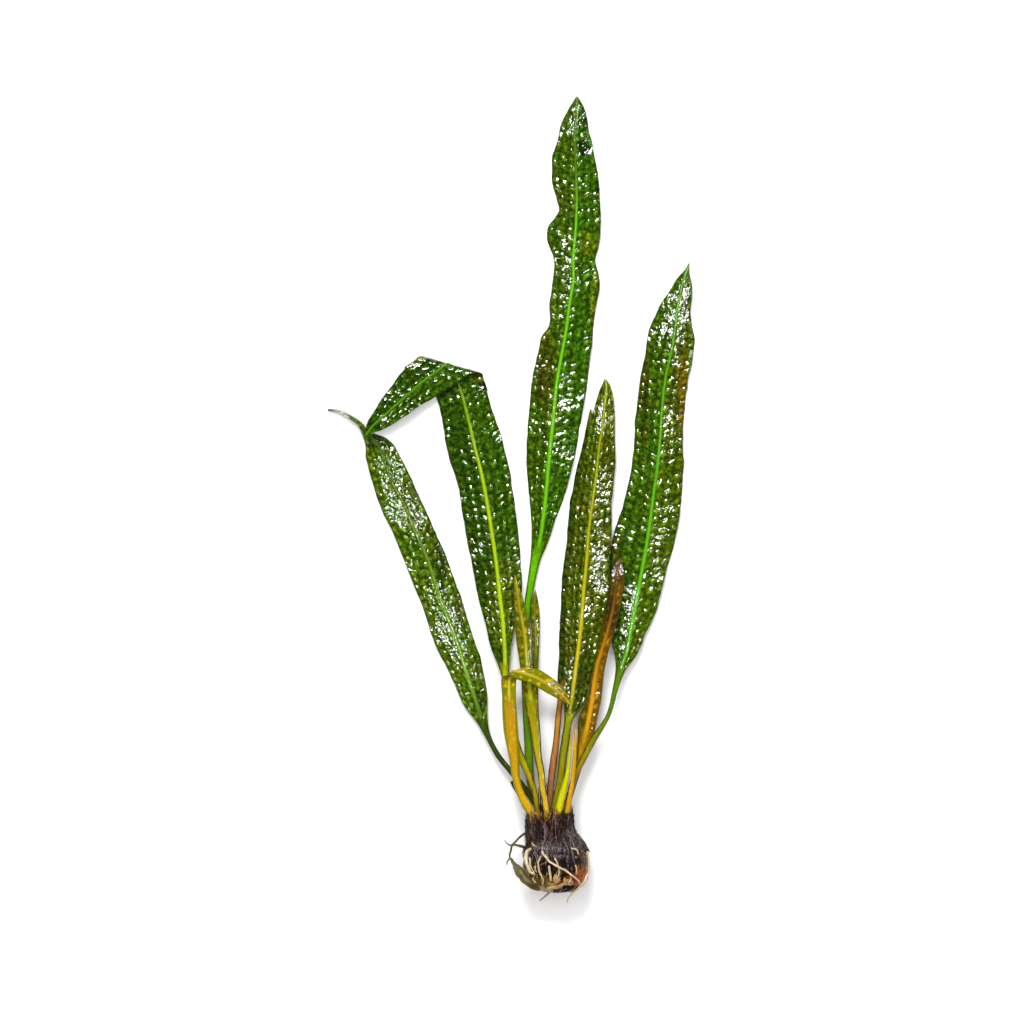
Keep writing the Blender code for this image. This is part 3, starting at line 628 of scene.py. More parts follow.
@dataclass
class Leaf:
    """One leaf with its petiole, as one closed skin.

    stalk holds (x, y, z, half width) from the crown to the foot of the blade, and blade holds
    (x, y, z, left half width, right half width) from there to the tip. Its sections turn back from
    the line of the crown over crown_reach and from a crease over shear_reach. The petiole turns into
    the blade from foot_lead before the blade's foot to foot_reach past it, and spacing is the power
    that gathers the points of a section towards the midrib.
    """

    name: str
    slot: str
    finish: LeafFinish
    stalk: list[tuple[float, ...]]
    blade: list[tuple[float, ...]]
    stalk_depth: float = 1.3
    rib: float = 0.8
    rib_height: float = 0.6
    thickness: float = 0.2
    arch: float = -0.5
    wave: float = 0.9
    wave_length: float = 26.0
    phase: float = 0.0
    pucker: float = 0.75
    cockle: float = 0.03
    rows: int = 3
    pitch: float = 3.7
    slant: float = 0.45
    frill: float = 0.3
    step: float = 0.42
    half_columns: int = 30
    roll: tuple[tuple[float, float], ...] = ()
    fold: Fold | None = None
    tone_patches: tuple[TonePatch, ...] = ()
    glares: tuple[Glare, ...] = ()
    seed: float = 1.0

    shear_reach: ClassVar[float] = 18.0
    flat_reach: ClassVar[float] = 12.0
    crown_reach: ClassVar[float] = 6.0
    foot_lead: ClassVar[float] = 6.0
    foot_reach: ClassVar[float] = 12.0
    stalk_step: ClassVar[float] = 1.1
    least_half: ClassVar[float] = 0.1
    spacing: ClassVar[float] = 1.2
    lowest_z: ClassVar[float] = 0.04

    def path(self) -> tuple[Array, Array]:
        """Lay the leaf's sections out along its length.

        Returns:
            The distance to each section, and its x, y, z, left and right half width.
        """
        table = np.array([(*row, row[3]) for row in self.stalk] + list(self.blade), float)
        return distances(table[:, :2]), table

    def crossing(self, knots: Array) -> tuple[float, float]:
        """Find where the midrib meets the crease: a straight line on from the nearest given section.

        Args:
            knots: Distances of the given sections.

        Returns:
            The distance along the leaf, and 1 for a square crossing or less for a slanted one.
        """
        points = np.array([row[:2] for row in self.stalk + self.blade])
        _, across = self.fold.frame()
        side = (points - np.array(self.fold.point)) @ across
        nearest = int(np.argmin(np.abs(side)))
        heading = points[nearest + 1] - points[nearest]
        slant = float(heading @ across) / np.hypot(*heading)
        return knots[nearest] - side[nearest] / slant, slant

    def from_crease(self, at: Array, knots: Array) -> tuple[Array, float]:
        """Measure from the middle of the bend, which is half a turn of the cylinder long.

        Args:
            at: Distance of each section along the leaf.
            knots: Distances of the given sections.

        Returns:
            The distance of each section from the middle of the bend, and the bend's length.
        """
        crossing, slant = self.crossing(knots)
        reach = pi * self.fold.radius / slant
        return np.abs(at - crossing - 0.5 * reach), reach

    def sideways(self, centre: Array, at: Array, knots: Array) -> Array:
        """Direction of each section: square to the path, but along the crown and along a crease.

        Args:
            centre: Middle of each section.
            at: Distance of each section along the leaf.
            knots: Distances of the given sections.

        Returns:
            A vector to the right for each section, longer where the section is slanted.
        """
        ahead = np.gradient(centre[:, :2], at, axis=0)
        ahead /= np.hypot(*ahead.T)[:, None]
        side = np.stack([ahead[:, 1], -ahead[:, 0]], axis=1)
        lines = [(np.array([1.0, 0.0]), 1.0 - smooth(0.0, self.crown_reach, at))]
        if self.fold:
            apart, reach = self.from_crease(at, knots)
            lines.append((self.fold.frame()[0], 1.0 - smooth(reach, self.shear_reach, apart)))
        for line, share in lines:
            turned = side * (1.0 - share[:, None]) + line * share[:, None]
            side = turned / np.sum(turned * side, axis=1)[:, None]
        return side

    def puckers(self, at: Array, fraction: Array, sign: Array) -> tuple[Array, Array]:
        """Rows of domes between the side veins.

        Each dome is the product of two raised cosines, one across the row and one along it. Rows are
        offset, and each dome has its own height and lean.

        Args:
            at: Distance along the leaf.
            fraction: Share of the way from midrib to margin.
            sign: Side of the midrib, -1 or 1.

        Returns:
            Height of the domes from about 0 to 1, and how far each point is from the grooves.
        """
        seed = self.seed
        warp = ripple(at / 7.5, 3.0 * fraction + 9.0 * sign, seed)
        place = self.rows * fraction + 0.2 * warp * np.minimum(1.0, 6.0 * fraction * (1.0 - fraction))
        row = np.floor(np.clip(place, 0.0, self.rows - 0.001))
        drift = ripple(at / 11.0, row + 5.0 * sign, seed + 2.0)
        lengthwise = at / self.pitch - self.slant * fraction * self.rows
        lengthwise = lengthwise + 0.5 * (row % 2.0) + hashed(row, sign, seed) + 0.6 * drift
        cell = np.floor(lengthwise)
        u = 2.0 * (place - row) - 1.0
        v = 2.0 * (lengthwise - cell) - 1.0
        across_hat = 0.5 + 0.5 * np.cos(pi * np.clip(u, -1.0, 1.0))
        along_hat = 0.5 + 0.5 * np.cos(pi * v)
        own = hashed(cell + 31.0 * row, 17.0 * sign, seed + 4.0)
        lean = hashed(cell + 13.0 * row, 5.0 * sign, seed + 6.0) - 0.5
        dome = across_hat * along_hat
        height = dome * (0.15 + 1.15 * own**1.5) * (1.0 + 0.5 * lean * u)
        return height, dome * (0.7 + 0.6 * own)

    def frills(self, at: Array, coarse_row: float, fine_row: float) -> Array:
        """Noise along a margin: coarse frills, and half as much of finer ones.

        Args:
            at: Distance along the leaf.
            coarse_row: Row of the noise that the coarse frills follow.
            fine_row: Row of the noise that the finer ones follow.

        Returns:
            The noise at each distance.
        """
        return ripple(at / 5.2, coarse_row, self.seed) + 0.5 * ripple(at / 2.3, fine_row, self.seed)

    def skin(self) -> Skin:
        """Work out the leaf: an ellipse in the petiole that turns into a thin, ribbed blade.

        The place of each point across the leaf and its height over the middle line are mixed from
        the ellipse and the blade. The blade's middle surface is the sum of puckers, an arched and
        waved margin that grows with the square of the distance from the midrib, and fine cockles.

        Returns:
            The skin with its fields.
        """
        knots, table = self.path()
        foot, tip = knots[len(self.stalk)], knots[-1]
        turning = foot - self.foot_lead
        count = int(round((tip - foot + self.foot_lead) / self.step))
        stalk_count = max(3, int(foot / self.stalk_step))
        at = np.concatenate([np.linspace(0.0, turning, stalk_count, endpoint=False),
                             np.linspace(turning, tip, count)])
        read = through(knots, table, at)
        centre = read[:, :3]
        left, right = np.maximum(read[:, 3:], self.least_half).T
        side = self.sideways(centre, at, knots)

        stalk_half = self.stalk[-1][3]
        wide = smooth(stalk_half * 1.05, stalk_half + 2.2, np.maximum(left, right))
        past_foot = smooth(foot, foot + self.foot_reach, at)
        share = np.where(at > turning, np.maximum(wide, past_foot), 0.0)
        taper = np.clip(np.minimum(left, right) / 1.5, 0.12, 1.0)[:, None]
        frill = self.frill * share * smooth(2.5, 6.0, np.minimum(left, right))
        left = left + frill * self.frills(at, 0.5, 3.5)
        right = right + frill * self.frills(at, 7.5, 9.5)

        top = np.linspace(0.0, 1.0, self.half_columns + 1)
        low = np.linspace(0.0, 1.0, self.half_columns * 2 // 3 + 1)
        t = np.concatenate([top, top[-2::-1], low[1:], low[-2:0:-1]])
        sign = np.concatenate([-np.ones(len(top) - 1), [0.0], np.ones(len(top) - 1),
                               np.ones(len(low) - 2), [0.0], -np.ones(len(low) - 2)])
        face = np.concatenate([np.ones(2 * len(top) - 1), -np.ones(2 * len(low) - 3)])
        crimp = 1.0
        if self.fold:
            apart, reach = self.from_crease(at, knots)
            crimp = smooth(0.5 * reach, self.flat_reach, apart)[:, None]
        at, share = at[:, None], share[:, None]
        half = np.where(sign < 0.0, left[:, None], right[:, None])
        spread = (1.0 - t) ** self.spacing
        across = sign * half * ((1.0 - share) * np.cos(0.5 * pi * t) + share * spread)
        fraction = np.clip(np.abs(across) / half, 0.0, 1.0)

        rib = np.minimum(self.rib * (1.0 - 0.45 * smooth(foot, tip, at)), 0.55 * half)
        ridge = self.rib_height * np.maximum(1.0 - (across / rib) ** 2, 0.0) ** 0.75
        sheet = self.thickness * np.sqrt(np.maximum(1.0 - fraction**8, 0.0))
        blade_up = face * (sheet + np.where(face > 0.0, ridge, 0.75 * ridge))
        stalk_up = face * self.stalk_depth * np.sin(0.5 * pi * t)
        up = ((1.0 - share) * stalk_up + share * blade_up) * taper

        broad = share * smooth(1.8, 5.0, np.minimum(left, right))[:, None]
        outer = np.sign(across) + (across == 0.0)
        dome, clearance = self.puckers(at, fraction, outer)
        clear = smooth(0.8, 1.6, np.abs(across) / rib) * (1.0 - 0.75 * smooth(0.9, 1.0, fraction))
        film = self.filmed(outer * fraction, (at - foot) / (tip - foot), across, at)
        relief = self.pucker * (dome - 0.3) * clear * (1.0 - 0.75 * np.minimum(film, 1.0))
        cockle = self.cockle * ripple(across / 1.0, at / 1.2, self.seed + 8.0)
        swell = 0.3 * ripple(across / 5.0 + 3.0, at / 6.0, self.seed + 9.0)
        up = up + broad * (relief + (cockle + swell) * clear)
        swing = 2.0 * pi * at / self.wave_length + self.phase + np.where(across < 0.0, 0.0, 1.9)
        margin = self.arch + self.wave * np.sin(swing) * np.clip(half / 8.0, 0.0, 1.0)
        quick = 0.45 * ripple(at / 4.6, outer * 4.0, self.seed + 5.0) * broad
        up = up + crimp * share * fraction**2 * (margin + quick * fraction**2)

        if self.roll:
            shares, degrees = zip(*self.roll)
            roll = np.radians(np.interp((at - foot) / (tip - foot), shares, degrees))
            across, up = (across * np.cos(roll) + up * np.sin(roll),
                          up * np.cos(roll) - across * np.sin(roll))
        points = np.empty(across.shape + (3,))
        points[..., :2] = centre[:, None, :2] + side[:, None, :] * across[..., None]
        floor = self.lowest_z + np.where(face > 0.0, 2.0 * sheet * share, 0.0)
        points[..., 2] = np.maximum(centre[:, None, 2] + up, floor)
        if self.fold:
            points = self.fold.over(points)

        height = np.where(at < foot, at / foot, 1.0 + (at - foot) / (tip - foot))
        place = np.abs(sign * half * spread if self.roll else across)
        fields = {
            "side": np.clip(sign * fraction, -1.0, 1.0),
            "dome": clearance,
            "rib": smooth(1.25, 0.65, place / rib) * smooth(0.3, 0.9, share),
            "edge": fraction * share,
            "blade": share * np.ones_like(fraction),
            "height": height * np.ones_like(fraction),
        }
        fields.update(self.stained(points))
        fields["wet"] = share * film
        return Skin(points[None], {key: value[None] for key, value in fields.items()})

    def stained(self, points: Array) -> dict[str, Array]:
        """Measure how far each point lies inside the patches of each tone, broken up by noise: mostly stain,
        and in a few places a painted shadow under folds and overlapping leaves.

        Args:
            points: Points of the leaf.

        Returns:
            One field for each tone.
        """
        x, y = points[..., 0], points[..., 1]
        broken = 0.45 * ripple(x / 2.2, y / 2.6, self.seed) + 0.3 * ripple(x / 0.9, y / 1.0, self.seed)
        fields = {tone.field(): np.zeros(x.shape) for tone in Tone}
        for stain in self.tone_patches:
            apart = away(x, y, (stain.x, stain.y), (stain.reach_x, stain.reach_y))
            inside = stain.strength * smooth(1.25, 0.35, apart + broken)
            fields[stain.tone.field()] = np.maximum(fields[stain.tone.field()], inside)
        return fields

    def filmed(self, across: Array, along: Array, x: Array, y: Array) -> Array:
        """Measure the rippled film of water: the strongest glare at each point, broken up by noise.

        Args:
            across: Place across the blade, from -1 to 1.
            along: Place along the blade, from 0 to 1.
            x: Distance from the midrib.
            y: Distance along the leaf.

        Returns:
            The strength of the film.
        """
        broken = 0.5 * ripple(x / 2.4, y / 3.2, self.seed + 20.0) + 0.3 * ripple(x, y, self.seed + 21.0)
        film = 0.3 * smooth(0.35, 0.9, ripple(x / 3.0, y / 4.0, self.seed + 22.0))
        for glare in self.glares:
            reach = (glare.reach_across, glare.reach_along)
            apart = away(across, along, (glare.across, glare.along), reach)
            film = np.maximum(film, glare.strength * smooth(1.3, 0.1, apart + broken))
        return film

    def build(self) -> bpy.types.Object:
        """Make the leaf, dress it and put it in the place of its solid."""
        return placed(self.name + "_skin", self.skin(), self.finish.material(self.name + "_finish"),
                      self.name)


def placed(name: str, skin: Skin, material: bpy.types.Material, node: str) -> bpy.types.Object:
    """Make a piece's object, hang it on the body and hide the solid that it stands for.

    Args:
        name: Name of the object.
        skin: Its surface.
        material: Its material.
        node: Solid that it stands for, or an empty text where it stands for none.

    Returns:
        The object.
    """
    mesh = skin.mesh(name)
    mesh.materials.append(material)
    piece = bpy.data.objects.new(name, mesh)
    bpy.context.scene.collection.objects.link(piece)
    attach(piece, BODY)
    if node:
        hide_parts(node)
    LOG.info("%s: %d triangles", name, len(mesh.loops) - 2 * len(mesh.polygons))
    return piece


LEAVES = [
    Leaf(
        "tall_leaf", "tall_blade",
        LeafFinish(crown=(108, 150, 14), stalk=(104, 190, 4), left=(68, 106, 4), right=(62, 110, 4),
                   rib=(126, 218, 18), rib_tip=(92, 134, 20), rib_turn=(1.72, 1.86)),
        stalk=[(-6.4, 21.2, 6.4, 1.4), (-8.8, 26.0, 6.4, 1.4), (-10.4, 35.6, 6.5, 1.7),
               (-11.1, 49.2, 6.1, 1.7), (-12.0, 63.6, 5.2, 1.5), (-12.4, 86.0, 3.7, 1.5),
               (-11.2, 104.4, 2.6, 1.5), (-9.4, 116.0, 2.4, 1.7)],
        blade=[(-8.1, 122.4, 2.3, 2.2, 2.0), (-6.4, 130.0, 2.2, 3.5, 3.4),
               (-5.2, 138.0, 2.1, 4.7, 4.7), (-4.2, 146.0, 2.0, 6.5, 6.8),
               (-2.8, 162.0, 2.0, 9.2, 9.9), (-1.2, 178.0, 2.0, 9.9, 11.1),
               (0.5, 194.0, 2.0, 9.8, 12.1), (2.4, 204.6, 2.0, 9.4, 11.4),
               (3.4, 210.0, 2.0, 9.2, 11.0), (4.0, 213.6, 2.0, 7.4, 10.8),
               (5.4, 224.0, 2.0, 8.2, 10.6), (6.9, 234.0, 2.0, 8.0, 10.6),
               (6.9, 242.0, 2.0, 8.0, 8.9), (7.5, 250.0, 2.1, 11.4, 9.9),
               (8.0, 256.0, 2.2, 10.6, 9.8), (8.1, 258.6, 2.2, 8.6, 9.7),
               (8.2, 260.8, 2.2, 7.3, 9.6), (8.3, 266.0, 2.1, 7.9, 9.2),
               (8.1, 274.0, 2.0, 9.6, 8.8), (7.7, 282.0, 2.0, 9.2, 8.0),
               (7.5, 290.0, 2.0, 7.0, 6.7), (7.9, 298.0, 2.1, 5.0, 4.7),
               (8.2, 303.6, 2.2, 2.4, 2.8), (8.4, 307.4, 2.2, 0.3, 0.3)],
        wave_length=24.0, phase=0.6, seed=1.0,
        tone_patches=(
            TonePatch(Tone.DARK, 12.4, 301.2, 1.6, 5.5, 0.9), TonePatch(Tone.DARK, 11.6, 286.6, 3.4, 3.4, 0.85),
            TonePatch(Tone.DARK, 16.8, 271.0, 1.2, 3.6, 0.8), TonePatch(Tone.OLIVE, 2.6, 265.0, 3.6, 6.0, 0.5),
            TonePatch(Tone.YELLOW, 12.4, 249.0, 4.5, 5.5, 0.5), TonePatch(Tone.YELLOW, 15.4, 227.0, 2.0, 10.0, 0.45),
            TonePatch(Tone.OLIVE, -4.0, 200.0, 4.6, 15.0, 0.8), TonePatch(Tone.BROWN, -6.4, 193.0, 2.0, 9.0, 0.5),
            TonePatch(Tone.OLIVE, -1.0, 182.0, 4.0, 8.0, 0.5), TonePatch(Tone.DARK, 7.6, 240.0, 1.6, 1.2, 0.5),
        ),
        glares=(Glare(0.2, 0.95, 1.0, 0.05, 0.8), Glare(-0.3, 0.62, 0.6, 0.1, 0.5),
                Glare(0.3, 0.3, 0.6, 0.12, 0.5)),
    ),
    Leaf(
        "folded_leaf", "folded_blade",
        LeafFinish(crown=(176, 150, 10), stalk=(196, 204, 8), left=(52, 88, 4), right=(60, 100, 4),
                   rib=(196, 228, 14), rib_tip=(92, 156, 20), rib_turn=(1.4, 1.8)),
        stalk=[(-7.4, 21.2, 12.3, 1.1), (-8.6, 29.6, 12.4, 1.1), (-10.4, 35.0, 12.2, 1.4),
               (-13.0, 41.0, 11.7, 1.5), (-15.5, 47.4, 10.9, 1.5), (-18.0, 60.0, 9.0, 1.5)],
        blade=[(-20.2, 78.4, 6.4, 2.4, 1.6), (-20.5, 86.8, 5.3, 5.4, 2.5),
               (-21.2, 96.8, 4.2, 7.1, 5.0), (-22.5, 108.0, 3.3, 8.6, 8.8),
               (-23.8, 120.0, 2.7, 9.7, 9.7), (-25.2, 130.0, 2.4, 10.4, 10.4),
               (-27.2, 142.8, 2.2, 10.4, 10.8), (-29.6, 155.6, 2.2, 10.1, 11.3),
               (-32.6, 167.8, 2.2, 11.1, 11.2), (-35.6, 180.6, 2.2, 10.2, 10.2),
               (-39.0, 192.6, 2.2, 9.8, 9.9), (-41.0, 197.6, 2.2, 9.2, 9.9),
               (-43.4, 202.6, 2.2, 9.0, 10.2), (-45.1, 207.0, 2.2, 8.9, 8.6),
               (-47.8, 213.0, 2.1, 8.3, 8.2), (-50.1, 219.9, 2.0, 7.8, 6.5),
               (-52.0, 225.5, 2.0, 6.4, 6.4), (-53.5, 230.4, 1.9, 5.3, 5.3),
               (-55.0, 234.9, 1.8, 3.8, 4.4), (-56.1, 238.8, 1.7, 2.7, 3.1),
               (-56.7, 243.5, 1.7, 0.3, 0.3)],
        phase=2.1, seed=2.0,
        fold=Fold(point=(-40.4, 197.6), along=(0.965, -0.262), radius=1.8, height=2.2),
        tone_patches=(
            TonePatch(Tone.OLIVE, -30.6, 195.4, 3.0, 2.6, 0.9), TonePatch(Tone.YELLOW, -54.4, 202.6, 3.2, 1.8, 0.8),
            # The dark patch at (-27.0, 192.0) is the painted shadow of the fold on the blade under it
            TonePatch(Tone.DARK, -27.0, 192.0, 4.5, 3.4, 0.7), TonePatch(Tone.DARK, -72.0, 176.0, 1.6, 1.6, 0.6),
            TonePatch(Tone.OLIVE, -17.5, 100.0, 2.0, 12.0, 0.4),
            TonePatch(Tone.YELLOW, -20.0, 104.0, 8.0, 20.0, 0.3),
        ),
        glares=(Glare(-0.4, 0.3, 0.5, 0.1, 0.3), Glare(0.5, 0.2, 0.5, 0.08, 0.35)),
    ),
    Leaf(
        "left_leaf", "left_blade",
        LeafFinish(crown=(60, 66, 6), stalk=(56, 84, 6), left=(82, 118, 6), right=(80, 114, 6),
                   rib=(134, 186, 40), rib_tip=(80, 112, 20), rim=(34, 46, 2), side=(14, 24, 2), grit=0.3),
        stalk=[(-7.6, 21.2, 9.3, 1.2), (-8.8, 25.0, 9.3, 1.25), (-10.8, 28.5, 9.2, 1.25),
               (-13.4, 31.8, 8.8, 1.25), (-17.9, 37.4, 7.6, 1.15), (-23.2, 44.0, 6.0, 1.1),
               (-27.2, 51.6, 4.8, 1.2)],
        blade=[(-29.4, 57.4, 4.0, 2.2, 2.2), (-31.6, 64.4, 3.2, 4.9, 4.5),
               (-34.9, 74.0, 2.5, 6.0, 6.6), (-39.8, 90.0, 2.1, 8.5, 6.8),
               (-46.4, 106.8, 2.0, 7.9, 7.9), (-52.2, 124.4, 2.0, 9.0, 7.3),
               (-56.4, 133.6, 2.0, 8.5, 7.2), (-60.8, 144.4, 2.0, 9.1, 6.9),
               (-65.0, 152.0, 2.0, 8.0, 7.6), (-68.2, 160.0, 2.1, 6.9, 6.9),
               (-71.4, 168.0, 2.3, 5.6, 5.1), (-75.4, 172.8, 2.5, 2.3, 2.3),
               (-77.9, 176.3, 2.4, 1.35, 1.35), (-82.4, 179.6, 2.1, 1.2, 1.2),
               (-86.6, 181.6, 1.7, 0.8, 0.8), (-91.2, 182.4, 1.4, 0.25, 0.25)],
        arch=-0.7, phase=1.0, seed=3.0, cockle=0.16,
        roll=((0.80, 0.0), (0.90, 70.0), (1.0, 80.0)),
        tone_patches=(
            TonePatch(Tone.DARK, -46.0, 128.0, 2.2, 22.0, 0.6), TonePatch(Tone.OLIVE, -38.5, 112.0, 2.0, 16.0, 0.7),
            TonePatch(Tone.DARK, -30.5, 66.0, 3.0, 5.0, 0.5), TonePatch(Tone.DARK, -84.0, 180.6, 9.0, 2.6, 0.7),
            # The dark patch at (-71.0, 169.0) is the painted shadow of the folded leaf's tip on this blade
            TonePatch(Tone.DARK, -71.0, 169.0, 6.5, 3.2, 0.7), TonePatch(Tone.DARK, -55.0, 128.6, 2.6, 3.0, 0.5),
        ),
        glares=(Glare(0.05, 0.65, 0.6, 0.13, 1.3), Glare(0.0, 0.66, 1.2, 0.14, 1.0),
                Glare(-0.2, 0.26, 0.8, 0.16, 1.1)),
    ),
    Leaf(
        "middle_leaf", "middle_blade",
        LeafFinish(crown=(150, 138, 8), stalk=(152, 156, 10), left=(80, 104, 4), right=(84, 106, 6),
                   rib=(226, 206, 14), rib_tip=(176, 190, 22)),
        stalk=[(-0.8, 21.2, 14.5, 1.6), (-0.2, 26.0, 14.2, 1.6), (1.4, 32.8, 13.4, 1.6),
               (2.7, 43.2, 12.0, 1.7), (3.9, 51.2, 10.8, 1.7)],
        blade=[(5.0, 58.4, 9.9, 1.8, 1.8), (6.1, 65.6, 9.2, 3.2, 5.2),
               (7.2, 73.6, 8.5, 4.2, 6.2), (8.4, 82.8, 7.8, 5.2, 7.4),
               (9.8, 94.0, 7.1, 6.3, 8.9), (11.0, 109.2, 6.3, 7.0, 10.1),
               (12.2, 122.0, 5.8, 6.6, 9.7), (13.2, 134.8, 5.5, 6.2, 9.1),
               (14.9, 147.6, 5.2, 6.5, 7.5), (16.0, 155.6, 5.0, 6.7, 7.2),
               (17.4, 168.4, 4.6, 5.4, 6.5), (18.4, 174.8, 4.3, 5.0, 5.1),
               (19.1, 181.2, 3.9, 4.1, 4.4), (19.9, 187.6, 3.3, 3.2, 3.0),
               (20.1, 191.6, 2.8, 2.0, 1.6), (19.6, 194.4, 2.5, 0.3, 0.3)],
        wave=0.6, wave_length=22.0, phase=0.2, seed=4.0,
        tone_patches=(
            TonePatch(Tone.YELLOW, 21.0, 184.0, 2.4, 10.0, 0.5), TonePatch(Tone.OLIVE, 8.6, 140.0, 2.4, 24.0, 0.5),
            TonePatch(Tone.OLIVE, 20.5, 160.0, 2.0, 12.0, 0.5), TonePatch(Tone.OLIVE, 4.0, 84.0, 3.0, 10.0, 0.5),
            # This dark patch is partly darker olive colour and partly the painted shadow of the amber leaf
            # over the blade
            TonePatch(Tone.DARK, 11.0, 74.0, 5.0, 18.0, 0.4),
        ),
        glares=(Glare(0.6, 0.46, 0.5, 0.12, 0.8), Glare(0.2, 0.31, 0.4, 0.05, 0.6),
                Glare(0.1, 0.9, 0.9, 0.08, 0.6), Glare(-0.4, 0.1, 0.6, 0.12, 0.5),
                Glare(0.5, 0.66, 0.6, 0.12, 0.6)),
    ),
    Leaf(
        "right_leaf", "right_blade",
        LeafFinish(crown=(196, 152, 16), stalk=(92, 138, 8), left=(66, 106, 4), right=(80, 112, 4),
                   rib=(110, 206, 20), rib_tip=(106, 184, 30)),
        stalk=[(4.6, 21.2, 13.2, 1.15), (6.1, 32.0, 12.8, 1.1), (7.2, 35.6, 12.6, 1.15),
               (10.0, 41.2, 12.2, 1.3), (14.6, 50.0, 11.6, 1.3), (20.8, 60.0, 10.0, 0.95),
               (23.6, 70.1, 8.0, 1.15)],
        blade=[(24.8, 74.7, 7.1, 1.5, 1.5), (26.0, 79.2, 6.2, 2.3, 2.3),
               (28.2, 85.0, 5.2, 5.8, 4.1), (29.8, 94.0, 4.2, 8.0, 6.5),
               (31.4, 102.4, 3.5, 10.0, 8.6), (33.2, 111.6, 2.9, 12.0, 9.2),
               (36.0, 126.8, 2.4, 13.6, 10.4), (37.4, 135.6, 2.2, 13.0, 11.1),
               (38.7, 146.0, 2.0, 11.0, 11.2), (40.6, 160.0, 2.0, 10.1, 10.5),
               (41.6, 170.8, 2.0, 10.3, 9.1), (42.4, 182.8, 2.0, 10.3, 9.0),
               (43.8, 194.8, 2.0, 9.8, 8.9), (46.4, 206.8, 2.0, 10.4, 8.8),
               (47.2, 211.6, 2.0, 10.3, 8.6), (47.9, 216.8, 2.0, 9.4, 6.4),
               (48.4, 222.0, 2.1, 7.6, 5.6), (49.6, 228.0, 2.3, 4.7, 4.8),
               (51.0, 234.0, 2.5, 2.6, 3.4), (52.4, 238.0, 2.6, 0.8, 0.9),
               (53.2, 240.6, 2.7, 0.3, 0.3)],
        wave_length=28.0, phase=3.0, seed=5.0,
        tone_patches=(
            TonePatch(Tone.AMBER, 51.6, 188.0, 2.8, 22.0, 0.5), TonePatch(Tone.OLIVE, 50.2, 190.0, 4.6, 26.0, 0.7),
            TonePatch(Tone.BROWN, 35.4, 188.0, 1.6, 26.0, 0.6), TonePatch(Tone.BROWN, 23.8, 126.0, 2.6, 12.0, 0.5),
            TonePatch(Tone.OLIVE, 50.0, 150.0, 2.0, 12.0, 0.5), TonePatch(Tone.DARK, 52.4, 226.0, 2.0, 4.0, 0.4),
        ),
        glares=(Glare(-0.1, 0.14, 0.35, 0.12, 0.8), Glare(0.1, 0.88, 1.1, 0.12, 0.9),
                Glare(0.4, 0.6, 0.5, 0.14, 0.5), Glare(0.6, 0.34, 0.5, 0.14, 0.5)),
    ),
    Leaf(
        "hidden_leaf", "hidden_blade",
        LeafFinish(crown=(176, 116, 80), stalk=(204, 138, 46), left=(60, 82, 4), right=(64, 86, 4),
                   rib=(150, 128, 30), rib_tip=(120, 130, 30), side=(84, 40, 6)),
        stalk=[(-2.6, 21.2, 10.0, 1.2), (-2.3, 30.0, 9.0, 1.4), (-0.9, 42.0, 7.4, 1.5),
               (0.1, 50.0, 6.4, 1.25), (0.7, 57.0, 5.5, 1.25)],
        blade=[(1.6, 66.0, 4.3, 1.1, 1.4), (3.6, 74.0, 3.4, 3.1, 2.6), (5.6, 84.0, 2.7, 4.4, 4.5),
               (7.2, 96.0, 2.2, 5.9, 6.0), (8.4, 110.0, 2.0, 6.2, 6.5), (9.6, 126.0, 1.9, 5.8, 6.5),
               (11.2, 142.0, 1.9, 5.9, 6.0), (12.4, 156.0, 1.9, 4.7, 5.3),
               (13.2, 168.0, 1.9, 2.6, 4.2), (13.6, 176.0, 1.9, 1.4, 2.4),
               (13.8, 182.3, 1.8, 0.25, 0.25)],
        stalk_depth=1.1, wave=0.4,
        seed=6.0, half_columns=14, pucker=0.3, rows=2,
    ),
    Leaf(
        "amber_leaf", "amber_blade",
        LeafFinish(crown=(186, 142, 12), stalk=(220, 166, 18), left=(92, 84, 3), right=(126, 96, 4),
                   rib=(246, 172, 12), rib_tip=(110, 76, 20), rim=(84, 66, 4), shade_in_grooves=0.6,
                   side=(120, 84, 6)),
        stalk=[(2.8, 21.2, 8.9, 1.2), (4.8, 26.0, 8.7, 1.3), (7.2, 34.0, 8.4, 1.5),
               (9.5, 42.0, 8.3, 1.8)],
        blade=[(11.2, 50.0, 8.4, 2.8, 3.2), (12.9, 58.0, 8.6, 4.0, 3.4),
               (14.3, 66.0, 8.9, 2.3, 3.6), (16.0, 78.0, 9.3, 1.6, 3.3),
               (20.4, 93.2, 9.7, 2.5, 2.5), (22.4, 101.2, 9.7, 2.7, 2.7),
               (23.8, 110.0, 9.6, 2.8, 2.8), (24.6, 118.0, 9.3, 2.2, 2.4),
               (25.6, 123.2, 9.1, 0.3, 0.3)],
        stalk_depth=1.1, arch=0.3, wave=0.2,
        seed=7.0, half_columns=10, pucker=0.25, rows=1, frill=0.15, rib=0.9,
        tone_patches=(TonePatch(Tone.BROWN, 24.6, 119.0, 4.0, 8.0, 0.9),
                TonePatch(Tone.BROWN, 21.4, 103.0, 4.6, 12.0, 1.2)),
        glares=(Glare(0.0, 0.94, 1.2, 0.08, 1.0), Glare(0.6, 0.2, 0.5, 0.2, 0.6)),
    ),
    Leaf(
        "curled_leaf", "curled_blade",
        LeafFinish(crown=(230, 176, 14), stalk=(206, 156, 20), left=(140, 140, 2), right=(146, 144, 2),
                   rib=(222, 214, 60), rib_tip=(226, 180, 50), rim=(120, 112, 6), shade_in_grooves=0.8,
                   side=(140, 138, 4)),
        stalk=[(-9.6, 21.2, 16.0, 2.6), (-12.0, 25.0, 16.2, 1.9), (-14.4, 29.6, 16.5, 1.6),
